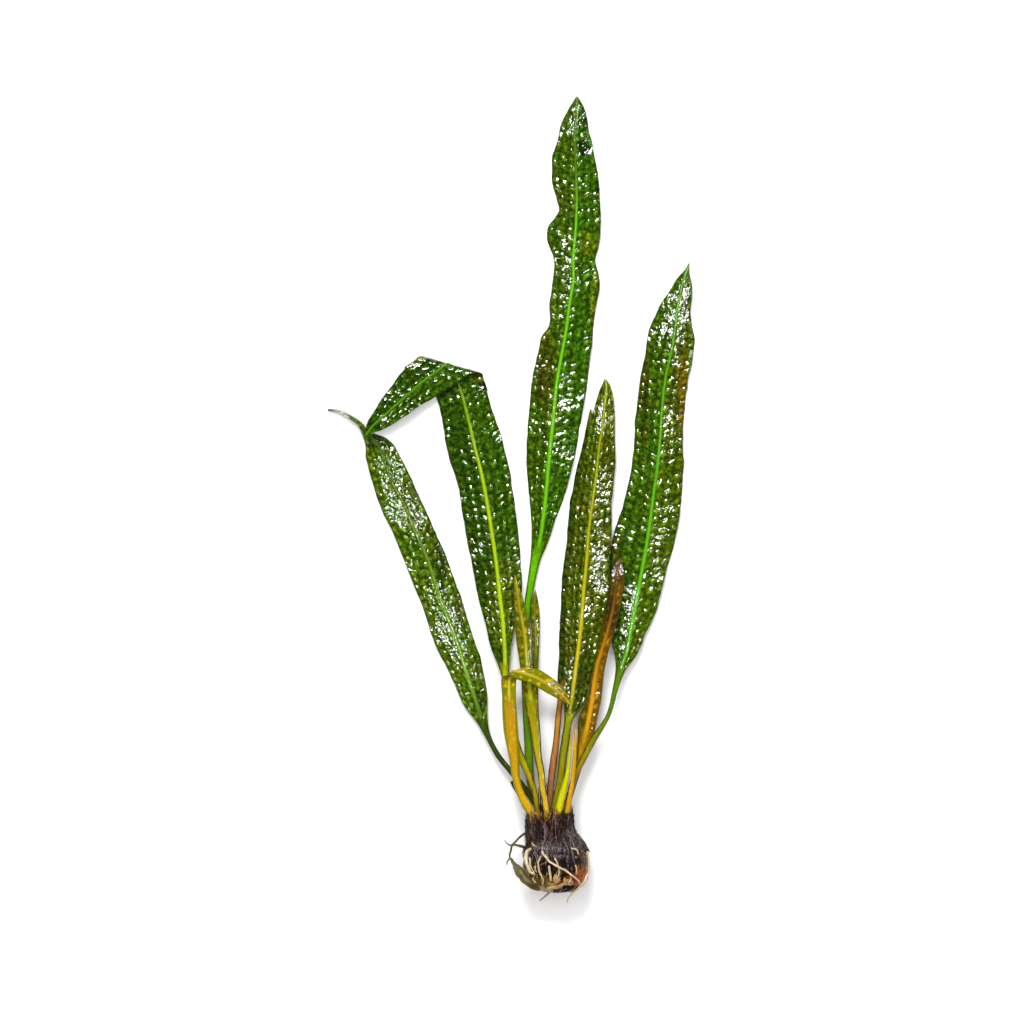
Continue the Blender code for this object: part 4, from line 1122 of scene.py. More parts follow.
               (-16.0, 35.6, 16.6, 1.6), (-16.6, 42.4, 16.5, 2.0), (-17.3, 48.4, 16.3, 2.55),
               (-18.0, 54.0, 16.0, 2.9)],
        blade=[(-18.5, 60.0, 15.7, 2.9, 2.9), (-18.8, 68.0, 15.4, 2.8, 2.8),
               (-18.6, 74.9, 15.2, 3.0, 3.0), (-16.2, 82.0, 15.4, 3.1, 3.1),
               (-14.0, 88.0, 15.9, 3.2, 3.2), (-13.1, 94.3, 17.0, 3.1, 3.1),
               (-12.9, 100.0, 18.2, 2.2, 2.2), (-13.6, 105.4, 19.6, 0.3, 0.3)],
        stalk_depth=1.2, arch=-0.4, wave=0.1,
        fold=Fold(point=(-18.6, 74.9), along=(0.904, 0.428), radius=1.8, height=15.2),
        seed=8.0, half_columns=10, pucker=0.15, rows=1, frill=0.1, rib=0.6,
        tone_patches=(TonePatch(Tone.AMBER, 1.6, 66.6, 2.4, 3.0, 0.8),
                TonePatch(Tone.BROWN, -19.0, 76.0, 1.6, 2.0, 0.6)),
        glares=(Glare(0.3, 0.84, 0.9, 0.1, 1.4),),
    ),
    Leaf(
        "narrow_leaf", "narrow_blade",
        LeafFinish(crown=(226, 184, 34), stalk=(176, 164, 12), left=(112, 118, 2), right=(122, 126, 2),
                   rib=(208, 206, 24), rib_tip=(168, 160, 24), shade_in_grooves=0.5, side=(66, 62, 2)),
        stalk=[(-3.6, 21.2, 19.0, 1.3), (-4.4, 26.0, 18.4, 1.3), (-5.5, 32.0, 17.4, 1.35),
               (-6.1, 38.0, 16.2, 1.45), (-7.3, 44.0, 15.1, 1.55), (-7.9, 50.0, 14.0, 1.9)],
        blade=[(-9.3, 59.4, 12.2, 2.4, 2.6), (-10.3, 68.6, 10.9, 2.9, 3.0),
               (-11.7, 81.2, 9.4, 2.9, 2.2), (-12.3, 90.0, 8.5, 3.6, 2.4),
               (-14.4, 102.0, 7.6, 2.3, 2.4), (-15.6, 110.0, 7.2, 1.3, 1.3),
               (-16.4, 116.0, 6.9, 0.25, 0.25)],
        stalk_depth=1.0, arch=0.5, wave=0.1,
        seed=9.0, half_columns=10, pucker=0.25, rows=1, frill=0.15, rib=0.9,
        tone_patches=(TonePatch(Tone.BROWN, -8.6, 58.0, 2.2, 3.6, 0.9),
                TonePatch(Tone.AMBER, -16.0, 113.0, 1.4, 5.0, 0.6)),
        glares=(Glare(0.5, 0.4, 0.7, 0.2, 1.1),),
    ),
    Leaf(
        "short_leaf", "short_blade",
        LeafFinish(crown=(120, 100, 10), stalk=(120, 124, 10), left=(96, 104, 4), right=(104, 110, 4),
                   rib=(160, 164, 24), rib_tip=(140, 146, 30), shade_in_grooves=0.5),
        stalk=[(-3.8, 21.2, 4.8, 1.0), (-5.2, 32.0, 4.8, 1.0), (-6.8, 46.0, 4.9, 0.9),
               (-7.8, 62.0, 5.0, 0.9)],
        blade=[(-8.2, 77.2, 5.0, 1.1, 1.1), (-8.1, 90.0, 5.1, 1.5, 1.5), (-8.4, 98.0, 5.2, 1.8, 1.9),
               (-8.5, 104.0, 5.3, 1.5, 1.6), (-8.2, 110.0, 5.4, 0.25, 0.25)],
        stalk_depth=0.8, arch=0.3, wave=0.1,
        seed=10.0, half_columns=8, pucker=0.2, rows=1, frill=0.1, rib=0.5,
        glares=(Glare(0.2, 0.4, 0.8, 0.26, 1.0),),
    ),
    Leaf(
        "green_shoot", "green_shoot_skin",
        LeafFinish(crown=(226, 226, 10), stalk=(222, 220, 10), left=(196, 152, 4), right=(196, 152, 4),
                   rib=(226, 180, 20), rib_tip=(220, 150, 20), rim=(200, 160, 10), shade_in_grooves=0.8,
                   side=(170, 168, 4)),
        stalk=[(0.7, 21.2, 19.6, 1.8), (1.7, 26.0, 19.5, 1.6), (3.8, 34.0, 19.2, 1.2),
               (4.6, 38.0, 18.8, 0.85)],
        blade=[(5.3, 44.0, 18.0, 0.6, 0.6), (6.0, 50.0, 17.0, 0.45, 0.45),
               (6.4, 54.8, 16.0, 0.15, 0.15)],
        stalk_depth=1.1, arch=0.0, wave=0.0,
        seed=11.0, half_columns=8, pucker=0.0, frill=0.0, rib=0.3,
    ),
    Leaf(
        "amber_shoot", "amber_shoot_skin",
        LeafFinish(crown=(226, 168, 20), stalk=(232, 172, 16), left=(192, 126, 4), right=(192, 126, 4),
                   rib=(226, 150, 16), rib_tip=(190, 110, 10), rim=(190, 120, 10), shade_in_grooves=0.8,
                   side=(176, 136, 8)),
        stalk=[(4.4, 21.2, 17.6, 1.2), (5.2, 26.8, 17.6, 1.0), (6.4, 33.6, 17.7, 0.85),
               (7.2, 41.2, 17.3, 0.8)],
        blade=[(7.6, 49.2, 16.5, 0.6, 0.6), (7.7, 58.2, 15.2, 0.15, 0.15)],
        stalk_depth=0.7, arch=0.0, wave=0.0,
        seed=12.0, half_columns=8, pucker=0.0, frill=0.0, rib=0.3,
    ),
    Leaf(
        "petiole_stub", "stub_skin",
        LeafFinish(crown=(70, 62, 10), stalk=(54, 60, 8), left=(50, 56, 8), right=(50, 56, 8),
                   rib=(64, 64, 10), rib_tip=(70, 60, 20), rim=(40, 36, 6), side=(20, 22, 4)),
        stalk=[(-10.6, 21.6, 12.2, 1.2), (-12.8, 25.8, 12.2, 1.4), (-15.0, 30.0, 12.0, 1.4)],
        blade=[(-16.6, 32.6, 11.8, 1.3, 1.3), (-17.6, 34.0, 11.6, 0.9, 0.9)],
        stalk_depth=0.9, arch=0.0, wave=0.0,
        seed=13.0, half_columns=8, pucker=0.0, frill=0.0, rib=0.3,
    ),
]


# Tuber, fibres and roots


@dataclass(frozen=True)
class CormFinish:
    """Colours of the tuber's skin, as seen on a screen."""

    orange: Colour = (208, 98, 14)
    rust: Colour = (124, 62, 16)
    tan: Colour = (226, 180, 116)
    olive: Colour = (116, 100, 32)
    moss: Colour = (50, 40, 10)
    dark: Colour = (30, 20, 18)
    pore: Colour = (0.01, 0.004, 0.0)
    # Near black painted as the shade of the recess at the tuber's lower end
    hollow_shade: Colour = (0.002, 0.001, 0.001)

    def material(self) -> bpy.types.Material:
        """Mix orange and rust by noise, then olive, dark, tan and the painted near-black shade at the lower
        end by the mesh's fields.

        Returns:
            The material, which reads the fields of the tuber's mesh.
        """
        board = Board("tuber_finish")
        broad = board.noise(260.0, 3.0)
        fine = board.noise(900.0, 4.0)
        lines = board.noise(900.0, 3.0, (1.0, 0.2, 1.0))
        colour = board.mix(((broad - 0.38) * 3.4).eased(0.0, 0.6), paint(*self.orange), paint(*self.rust))
        olive = board.mix((lines - 0.4) * 3.0, paint(*self.olive), paint(*self.moss))
        colour = board.mix((board.field("olive") * 1.4 - fine * 0.4).eased(0.1, 0.5), colour, olive)
        colour = board.mix((fine - 0.46) * 3.2, colour, board.mix(0.75, colour, self.pore))
        dusk = (board.field("dark") + (lines - 0.5) * 1.2).eased(0.25, 0.6)
        colour = board.mix(dusk, colour, paint(*self.dark))
        shreds = (board.field("tan") * 0.8 + (lines - 0.5) * 4.0).eased(0.5, 0.8)
        colour = board.mix(shreds, colour, paint(*self.tan))
        # Painted shade: the recess at the lower end goes near black and rougher, so that it stays dark
        gap = board.field("gap")
        colour = board.mix(gap.eased(0.4, 0.7), colour, self.hollow_shade)
        board.bump(0.5 * fine + 0.5 * lines, 0.5, 0.0003)
        rough = 0.3 + 0.3 * (fine - 0.3) + 0.5 * gap
        return board.finish(colour, rough, Specular_IOR_Level=0.2)


@dataclass(frozen=True)
class FibreFinish:
    """Colours of the old sheath fibres, as seen on a screen, with the pale colour of their painted glints.
    """

    black: Colour = (12, 6, 5)
    plum: Colour = (50, 30, 28)
    rust: Colour = (116, 60, 30)
    pale_glint: Colour = (196, 180, 184)

    def material(self, name: str) -> bpy.types.Material:
        """Make the fibres: dark plum and black, some rust red, with pale flecks along them that are painted
        glints.

        Args:
            name: Name of the material.

        Returns:
            The material, which reads the shade of each fibre.
        """
        board = Board(name)
        along = board.noise(1500.0, 3.0, (1.0, 0.14, 1.0))
        fleck = board.noise(2600.0, 2.0, (1.0, 0.3, 1.0))
        shade = board.field("shade") + (along - 0.5) * 0.5
        # The top stop is pale fibre colour and a painted glint
        stops = ((0.0, paint(*self.black)), (1.0, paint(*self.pale_glint)), (0.4, paint(*self.plum)),
                 (0.62, paint(*self.black)), (0.8, paint(*self.rust)))
        colour = board.ramp(shade, stops)
        # Painted glints: pale flecks along the fibres where their wet gloss would shine
        colour = board.mix(fleck.eased(0.64, 0.7) * 0.7, colour, paint(*self.pale_glint))
        board.bump(0.5 * along + 0.5 * fleck, 0.7, 0.0003)
        return board.finish(colour, 0.16 + 0.2 * along, Specular_IOR_Level=0.3)


PALE_SHEATH = FibreFinish(black=(150, 104, 14), plum=(224, 176, 40), rust=(170, 96, 34),
                          pale_glint=(250, 228, 156))
# Dark shreds between the petioles: old sheath colour, and the painted shade of the gaps
SHEATH_AND_GAP_SHADE = FibreFinish(black=(26, 16, 6), plum=(66, 44, 10), rust=(96, 60, 14), pale_glint=(120, 90, 30))


class RootFinish(Enum):
    """The colours of roots, as seen on a screen, pale and stained, and the roughness of each."""

    CREAM = ((252, 232, 190), (220, 178, 118), 0.34)
    OLIVE = ((122, 112, 40), (54, 40, 14), 0.5)
    TAN = ((214, 172, 112), (126, 86, 38), 0.42)

    def material(self) -> bpy.types.Material:
        """Mix the pale and the stained colour by broad noise and by lines along the root.

        Returns:
            The material.
        """
        board = Board(self.name.lower() + "_root_finish")
        broad = board.noise(320.0, 2.0)
        fine = board.noise(1900.0, 3.0)
        lines = board.noise(1300.0, 2.0, (1.0, 0.25, 1.0))
        pale, stained, rough = self.value
        colour = board.mix((broad - 0.38) * 2.4, paint(*pale), paint(*stained))
        colour = board.mix((fine - 0.55) * 2.0, colour, board.mix(0.6, colour, (0.03, 0.015, 0.0)))
        colour = board.mix((lines - 0.52) * 3.0, colour, paint(*stained))
        board.bump(fine, 0.4, 0.0002)
        return board.finish(colour, rough + 0.2 * (fine - 0.5), Specular_IOR_Level=0.3)


@dataclass
class Tuber:
    """The rounded corm, a squarish ball about the growing axis with a small flat where it rests."""

    radius: float = 13.2
    centre_z: float = 13.0
    up: float = 9.4
    down: float = 10.5
    crown_y: float = 8.7
    squareness: float = 2.6
    lump: float = 0.25
    rings: int = 150
    around: int = 230
    flare_y: tuple[float, ...] = (6.8, 8.2, 10.0, 11.6, 13.2, 15.0, 17.0)
    flare_reach: tuple[float, ...] = (12.4, 11.7, 10.5, 9.1, 7.8, 7.1, 6.6)
    shadow: Patch = ((-0.6, 2.5), (12.2, 8.2))
    # Where the painted shade of the recess at the lower end lies, seen from above, and the heights it spans
    hollow_shade: Patch = ((4.0, -9.2), (6.2, 1.7))
    hollow_shade_z: Pair = (15.5, 18.5)
    olive_side: Patch = ((-9.0, -4.5), (8.8, 7.5))
    shreds: tuple[Patch, ...] = (
        ((-3.6, -8.4), (6.2, 1.7)), ((0.2, -4.6), (1.8, 2.3)),
        ((-2.3, -6.4), (1.5, 3.2)), ((4.8, -5.8), (2.0, 1.6)))
    neck_y: Pair = (3.5, 6.5)
    scar_area: float = 52.0
    scar_y: Pair = (-7.0, -9.5)

    def reach(self, y: Array) -> Array:
        """Radius about the axis at y: 1 less the share of the length to a power, to its root."""
        share = np.clip(np.abs(y) / np.where(np.asarray(y) > 0.0, self.up, self.down), 0.0, 1.0)
        return self.radius * (1.0 - share**self.squareness) ** (1.0 / self.squareness)

    def skirted(self, y: Array, over: float) -> Array:
        """Radius of the fibre skirt at y: over above the skin, or flared from the neck past it."""
        return np.maximum(self.reach(y) + self.lump + over, np.interp(y, self.flare_y, self.flare_reach))

    def over(self, x: float, y: float, lift: float) -> tuple[float, float, float]:
        """Find a point over the tuber's upper side, or over the fibre skirt that lies on it.

        Args:
            x: Place across.
            y: Place along.
            lift: Distance over the skin.

        Returns:
            The point.
        """
        skin = float(self.reach(y)) + self.lump
        skirt = float(self.skirted(y, 0.95)) - skin
        reach = skin + skirt * float(smooth(-2.5, 0.0, y)) + 0.3 + lift
        return (x, y, self.centre_z + max(reach * reach - x * x, 0.0) ** 0.5)

    def skin(self) -> Skin:
        """Stretch a ball to the squarish shape, with lumps, pits and fine creases on it.

        The stretch is 1 over the root of the sum of both parts of the direction to a power. The
        creases and pits are noise that runs askew round the ball.

        Returns:
            The skin with its fields.
        """
        polar = np.linspace(pi - 0.03, 0.03, self.rings)[:, None]
        turn = np.linspace(*ROUND, self.around, endpoint=False)[None]
        radial, up = np.sin(polar), np.cos(polar)
        p = self.squareness
        stretch = 1.0 / (radial**p + np.abs(up) ** p) ** (1.0 / p)
        x, z = radial * np.cos(turn), radial * np.sin(turn)
        fade = 1.0 - smooth(0.1, 0.5, up)
        lump = np.sin(5.0 * x + 1.3) * np.sin(4.0 * z + 0.4) * np.cos(6.0 * up) * fade * self.lump
        skew_x, skew_z = 6.0 * x + 3.1 * z, 6.0 * z - 3.4 * x
        fine = ripple(skew_x, 7.0 * up, 3.0) + ripple(skew_z, 6.0 * up, 5.0)
        pits = ripple(3.1 * skew_x, 22.0 * up, 7.0) + ripple(3.1 * skew_z, 21.0 * up, 9.0)
        size = stretch + (lump + 0.1 * fine + 0.07 * pits) / self.radius
        points = np.stack([self.radius * x * size,
                           np.where(up > 0.0, self.up, self.down) * up * size,
                           self.centre_z + self.radius * z * size], axis=-1)
        points[..., 2] = np.maximum(points[..., 2], 0.0)
        points[..., 1] = np.minimum(points[..., 1], self.crown_y)
        fields = self.tones(points)
        return Skin(points[None], {key: value[None] for key, value in fields.items()})

    def tones(self, points: Array) -> dict[str, Array]:
        """Measure the stained parts of the skin, and where shade is painted near black at its lower end:
        patches seen from above, broken up by noise.

        The scar is a disc about the growing axis at the tuber's lower end, and it is dark too.

        Args:
            points: Points of the skin.

        Returns:
            One field for each stain.
        """
        x, y, z = points[..., 0], points[..., 1], points[..., 2]
        broken = 0.35 * ripple(x / 2.4, y / 2.0, 4.0) + 0.25 * ripple(x / 0.8, y / 1.3, 6.0)
        shadow = smooth(1.2, 0.6, away(x, y, *self.shadow) + broken)
        scar = smooth(1.3, 0.2, (x**2 + (z - self.centre_z) ** 2) / self.scar_area + 2.0 * broken)
        dark = np.maximum(shadow, smooth(*self.neck_y, y))
        tan = np.zeros(x.shape)
        for middle, reach in self.shreds:
            tan = np.maximum(tan, smooth(1.3, 0.3, away(x, y, middle, reach) + 1.4 * broken))
        return {
            "dark": np.maximum(dark, 0.75 * scar * smooth(*self.scar_y, y)),
            "olive": smooth(1.3, 0.6, away(x, y, *self.olive_side) + broken),
            # The gap field carries the painted shade of the recess at the lower end
            "gap": smooth(*self.hollow_shade_z, z) * smooth(1.2, 0.8, away(x, y, *self.hollow_shade) + broken),
            "tan": tan,
        }

    def build(self) -> bpy.types.Object:
        """Make the tuber and put it in the place of its solid."""
        return placed("tuber_surface", self.skin(), CormFinish().material(), "tuber")


@dataclass
class Collar:
    """The neck of old sheath fibres over the tuber, with a ragged skirt that lies on its skin."""

    tuber: Tuber
    centre_x: float = -2.6
    centre_z: float = 13.0
    radius: float = 9.1
    top_y: float = 20.9
    lift: float = 0.4
    skirt: float = 0.55
    skirt_top_y: float = 8.3
    side_y: float = 6.8
    front_y: float = 0.5
    strands: int = 70
    loose_fibres: int = 950
    fringe_fibres: int = 260
    sheath_fibres: int = 70
    shreds_each: int = 9
    around: int = 460
    rows: int = 130
    under_rows: int = 12

    def outside(self, turn: Array, y: Array, over: Array) -> tuple[Array, Array]:
        """Find the collar's outside: the neck's circle, or the tuber's reach where that is wider.

        Args:
            turn: Angle about the growing axis.
            y: Place along the axis.
            over: Distance over the neck's circle or the tuber's skin.

        Returns:
            The x and z of each point.
        """
        x = self.centre_x + (self.radius + over) * np.cos(turn)
        z = self.centre_z + (self.radius + over) * np.sin(turn)
        reach = self.tuber.skirted(y, self.lift + self.skirt) + over
        share = smooth(-0.7, 0.7, reach - np.hypot(x, z - self.tuber.centre_z))
        out_x, out_z = self.heading(turn)
        x = x * (1.0 - share) + reach * out_x * share
        z = z * (1.0 - share) + (self.tuber.centre_z + reach * out_z) * share
        return x, z

    def heading(self, turn: Array) -> tuple[Array, Array]:
        """Point from the tuber's axis through the neck's circle at each angle.

        Args:
            turn: Angle about the growing axis.

        Returns:
            The x and z of each unit vector.
        """
        x = self.centre_x + self.radius * np.cos(turn)
        z = self.centre_z - self.tuber.centre_z + self.radius * np.sin(turn)
        return x / np.hypot(x, z), z / np.hypot(x, z)

    def hem(self, turn: Array) -> Array:
        """Find how far down the skirt comes: lowest in front by the sine squared, and ragged by noise.

        Args:
            turn: Angle about the growing axis.

        Returns:
            The hem's place along the axis at each angle.
        """
        front = np.maximum(np.sin(turn), 0.0) ** 2
        ragged = 1.3 * np.abs(ripple(turn * 9.0, 0.5, 2.0)) + 0.8 * np.abs(ripple(turn * 23.0, 0.5, 3.0))
        return self.side_y + (self.front_y - self.side_y) * front + ragged

    def skin(self) -> Skin:
        """Carry a ridged ring down the neck and the skirt, round its hem and back underneath.

        The ring's radius varies with noise that changes fast round the neck and slowly along it.

        Returns:
            The skin with the shade of its ridges.
        """
        turn = np.linspace(*ROUND, self.around, endpoint=False)[None]
        hem = self.hem(turn)
        shares = np.linspace(0.0, 1.0, self.rows)[:, None]
        y = self.top_y + (hem - self.top_y) * shares
        comb = ripple(turn * self.strands / (2.0 * pi), y / 9.0, 1.0)
        comb = comb + 0.6 * ripple(turn * 2.4 * self.strands / (2.0 * pi), y / 4.0, 2.0)
        thin = self.skirt * smooth(0.9, 1.0, shares)
        x, z = self.outside(turn, y, 0.3 * comb * (1.0 - thin) - 0.6 * thin)
        outer = np.stack([x, y + 0.0 * x, z], axis=-1)
        bowl_radius = (self.radius * (0.25 + 0.25 * np.arange(3.0)))[:, None]
        bowl = np.stack([self.centre_x + bowl_radius * np.cos(turn),
                         self.top_y - 0.5 + 0.5 * ripple(turn * 8.0, bowl_radius, 3.0),
                         self.centre_z + bowl_radius * np.sin(turn)], axis=-1)
        under_shares = np.linspace(0.0, 1.0, self.under_rows)[:, None]
        under_y = hem + 0.2 + (self.skirt_top_y - hem - 0.2) * under_shares
        under_reach = self.tuber.reach(under_y) + self.tuber.lump + self.lift
        out_x, out_z = self.heading(turn)
        under = np.stack([under_reach * out_x, under_y,
                          self.tuber.centre_z + under_reach * out_z], axis=-1)
        inner = 0.5 * self.tuber.radius
        crown = np.stack([inner * out_x, 0.0 * turn + self.tuber.crown_y + self.lift,
                          self.tuber.centre_z + inner * out_z], axis=-1)
        points = np.concatenate([bowl, outer, under, crown])
        shade = 0.2 + 0.3 * ripple(turn * self.strands / (2.0 * pi), points[..., 1] / 12.0, 5.0)
        return Skin(points[None], {"shade": shade[None]})

    def fibres(self) -> Skin:
        """Lay thin tapering fibres along the neck and the skirt, each with its own shade and drift.

        A fibre is a line down the collar's outside, moved about it and off it by noise.

        Returns:
            The fibres.
        """
        pick = np.random.default_rng(11)
        count = self.loose_fibres
        along = np.linspace(0.0, 1.0, 20)[None]
        turn = pick.uniform(*ROUND, (count, 1))
        front = np.maximum(np.sin(turn), 0.0) ** 2
        start = pick.uniform(9.0, 21.8, (count, 1))
        length = pick.uniform(4.0, 14.0, (count, 1))
        end = np.maximum(start - length, self.side_y - 1.0 - (3.5 + self.side_y) * front)
        y = start + (end - start) * along
        own = np.arange(count)[:, None] * 7.3
        drift = 0.08 * ripple(y / 3.5, own, 3.0) + 0.025 * ripple(y / 1.1, own, 4.0)
        loose = pick.uniform(0.0, 1.0, (count, 1)) ** 4 * np.abs(along - 0.5) ** 2 * 4.0
        wavy = 0.14 * ripple(y / 0.7, own + 2.5, 6.0)
        over = 0.15 + 0.3 * pick.uniform(0.0, 1.0, (count, 1)) + 0.9 * loose + wavy
        x, z = self.outside(turn + drift, y, over)
        paths = np.stack([x, y, z], axis=-1)
        paths[..., 2] = np.maximum(paths[..., 2], 0.2)
        radii = pick.uniform(0.05, 0.14, (count, 1)) * (1.0 - 0.85 * np.abs(2.0 * along - 1.0) ** 4)
        return self.bundle(paths, radii, pick)

    def fringe(self) -> Skin:
        """Stand short ragged fibres in rings round the petioles' feet, leaning out with their height.

        Returns:
            The fibres.
        """
        pick = np.random.default_rng(12)
        count = self.fringe_fibres
        along = np.linspace(0.0, 1.0, 10)[None]
        turn = pick.uniform(*ROUND, (count, 1))
        radius = self.radius * pick.uniform(0.72, 1.03, (count, 1))
        height = pick.uniform(0.8, 3.2, (count, 1)) * (1.0 + 0.35 * np.cos(turn))
        y = self.top_y - 1.6 + (height + 1.6) * along
        out = radius + 0.5 * along * pick.uniform(-1.0, 1.4, (count, 1))
        turn = turn + 0.06 * ripple(3.0 * along, np.arange(count)[:, None] * 5.1, 2.0)
        paths = np.stack([self.centre_x + out * np.cos(turn), y,
                          self.centre_z + out * np.sin(turn)], axis=-1)
        radii = pick.uniform(0.09, 0.2, (count, 1)) * (1.0 - 0.8 * along**2)
        return self.bundle(paths, radii, pick)

    def sheaths(self) -> Skin:
        """Run pale fibres from the feet of the front petioles down over the top of the neck.

        Each starts at a random place on one petiole's foot, given by its x and half width.

        Returns:
            The fibres.
        """
        pick = np.random.default_rng(13)
        count = self.sheath_fibres
        along = np.linspace(0.0, 1.0, 14)[None]
        feet = np.array([(-9.6, 2.1), (-3.7, 1.2), (-6.6, 0.8), (0.8, 1.4)])
        share = pick.choice(4, (count, 1), p=[0.5, 0.25, 0.15, 0.1])
        x = feet[share, 0] + feet[share, 1] * pick.uniform(-1.0, 1.0, (count, 1))
        turn = np.arccos(np.clip((x - self.centre_x) / self.radius, -0.98, 0.98))
        turn = turn + 0.08 * ripple(2.0 * along, np.arange(count)[:, None] * 4.3, 8.0)
        start = self.top_y + pick.uniform(0.6, 1.6, (count, 1))
        y = start - pick.uniform(1.2, 6.0, (count, 1)) * along
        over = 0.2 + 0.2 * pick.uniform(0.0, 1.0, (count, 1)) + 0.1 * ripple(y / 0.8, x, 9.0)
        side_x, side_z = self.outside(turn, y, over)
        radii = pick.uniform(0.08, 0.2, (count, 1)) * (1.0 - 0.9 * along)
        return self.bundle(np.stack([side_x, y, side_z], axis=-1), radii, pick)

    def dark_sheaths(self) -> Skin:
        """Stand dark shreds of old sheaths in the gaps between the petioles; their dark colour also paints
        the shade of the gaps.

        Each gap is given by its x, its z and the height of its shreds, and holds the same number.

        Returns:
            The shreds.
        """
        pick = np.random.default_rng(14)
        gaps = np.array([(-6.6, 9.6, 12.0), (-5.6, 10.2, 9.0), (-3.9, 10.6, 13.5), (4.6, 15.2, 9.0),
                         (5.2, 14.6, 7.0), (-8.6, 10.6, 5.0), (1.6, 10.2, 5.0)])
        along = np.linspace(0.0, 1.0, 14)[None]
        x, z, height = np.repeat(gaps, self.shreds_each, axis=0).T[:, :, None]
        height = height * pick.uniform(0.45, 1.0, height.shape)
        y = self.top_y - 1.0 + (height + 1.0) * along
        own = np.arange(len(x))[:, None] * 3.1
        x = x + 0.5 * pick.uniform(-1.0, 1.0, x.shape) + 0.3 * ripple(y / 3.0, own, 1.0) * along
        z = z + 0.5 * pick.uniform(-1.0, 1.0, z.shape) + 0.0 * y
        paths = np.stack([x, y, z], axis=-1)
        radii = pick.uniform(0.2, 0.4, (len(x), 1)) * (1.0 - 0.85 * along)
        return self.bundle(paths, radii, pick)

    def bundle(self, paths: Array, radii: Array, pick: np.random.Generator) -> Skin:
        """Turn paths into five-sided tubes, each with one shade of its own.

        Args:
            paths: Points of each tube.
            radii: Radius at each point.
            pick: Source of the shades.

        Returns:
            The tubes.
        """
        rings = tube_rings(paths, radii, 5)
        shade = pick.uniform(0.0, 0.95, (len(paths), 1, 1)) ** 1.3
        return Skin(rings, {"shade": np.broadcast_to(shade, rings.shape[:3])})

    def build(self) -> list[bpy.types.Object]:
        """Make the collar in the place of its solid, and its fibres.

        Returns:
            The collar's pieces.
        """
        slot, finish = "collar_fibre", FibreFinish()
        neck = placed("collar_surface", self.skin(), finish.material("collar_finish"), "collar")
        loose = [
            ("collar_fibres", self.fibres(), finish.material("fibre_finish")),
            ("crown_fringe", self.fringe(), finish.material("fringe_finish")),
            ("pale_sheaths", self.sheaths(), PALE_SHEATH.material("pale_sheath_finish")),
            # Dark shreds that are old sheaths and also the painted shade between the petioles
            ("dark_sheaths", self.dark_sheaths(), SHEATH_AND_GAP_SHADE.material("dark_sheath_finish")),
        ]
        return [neck] + [placed(name, skin, material, "") for name, skin, material in loose]


@dataclass
class Root:
    """One root as a round, slightly crooked tube, by places over the tuber or points in the air."""

    name: str
    finish: RootFinish
    radii: tuple[float, ...]
    lift: float
    places: list[tuple[float, ...]]

    step: ClassVar[float] = 0.22

    def skin(self, tuber: Tuber) -> Skin:
        """Carry a circle along a cubic curve through the root's points, and round its ends off.

        Args:
            tuber: Tuber that carries the root.

        Returns:
            The skin.
        """
        points = [p if len(p) == 3 else tuber.over(p[0], p[1], self.lift) for p in self.places]
        points = np.array(points, float)
        knots = distances(points)
        at = np.linspace(0.0, knots[-1], max(24, int(knots[-1] / self.step)))
        radii = np.interp(at, np.linspace(0.0, knots[-1], len(self.radii)), self.radii)
        path = through(knots, points, at)
        seed = 3.0 + len(self.places) + self.radii[0] * 10.0
        fade = smooth(0.0, 2.0, at) * smooth(0.0, 2.0, knots[-1] - at)
        for axis in range(3):
            path[:, axis] += 0.22 * fade * ripple(at / 1.9, axis * 3.0, seed)
        rounding = np.minimum(at, knots[-1] - at) / (1.6 * radii)
        end = np.sqrt(np.clip(1.0 - (1.0 - np.clip(rounding, 0.0, 1.0)) ** 2, 0.03, 1.0))
        radii = radii * end * (1.0 + 0.12 * ripple(at / 1.1, 0.5, seed))
        return Skin(tube_rings(path[None], radii[None], 16), {})


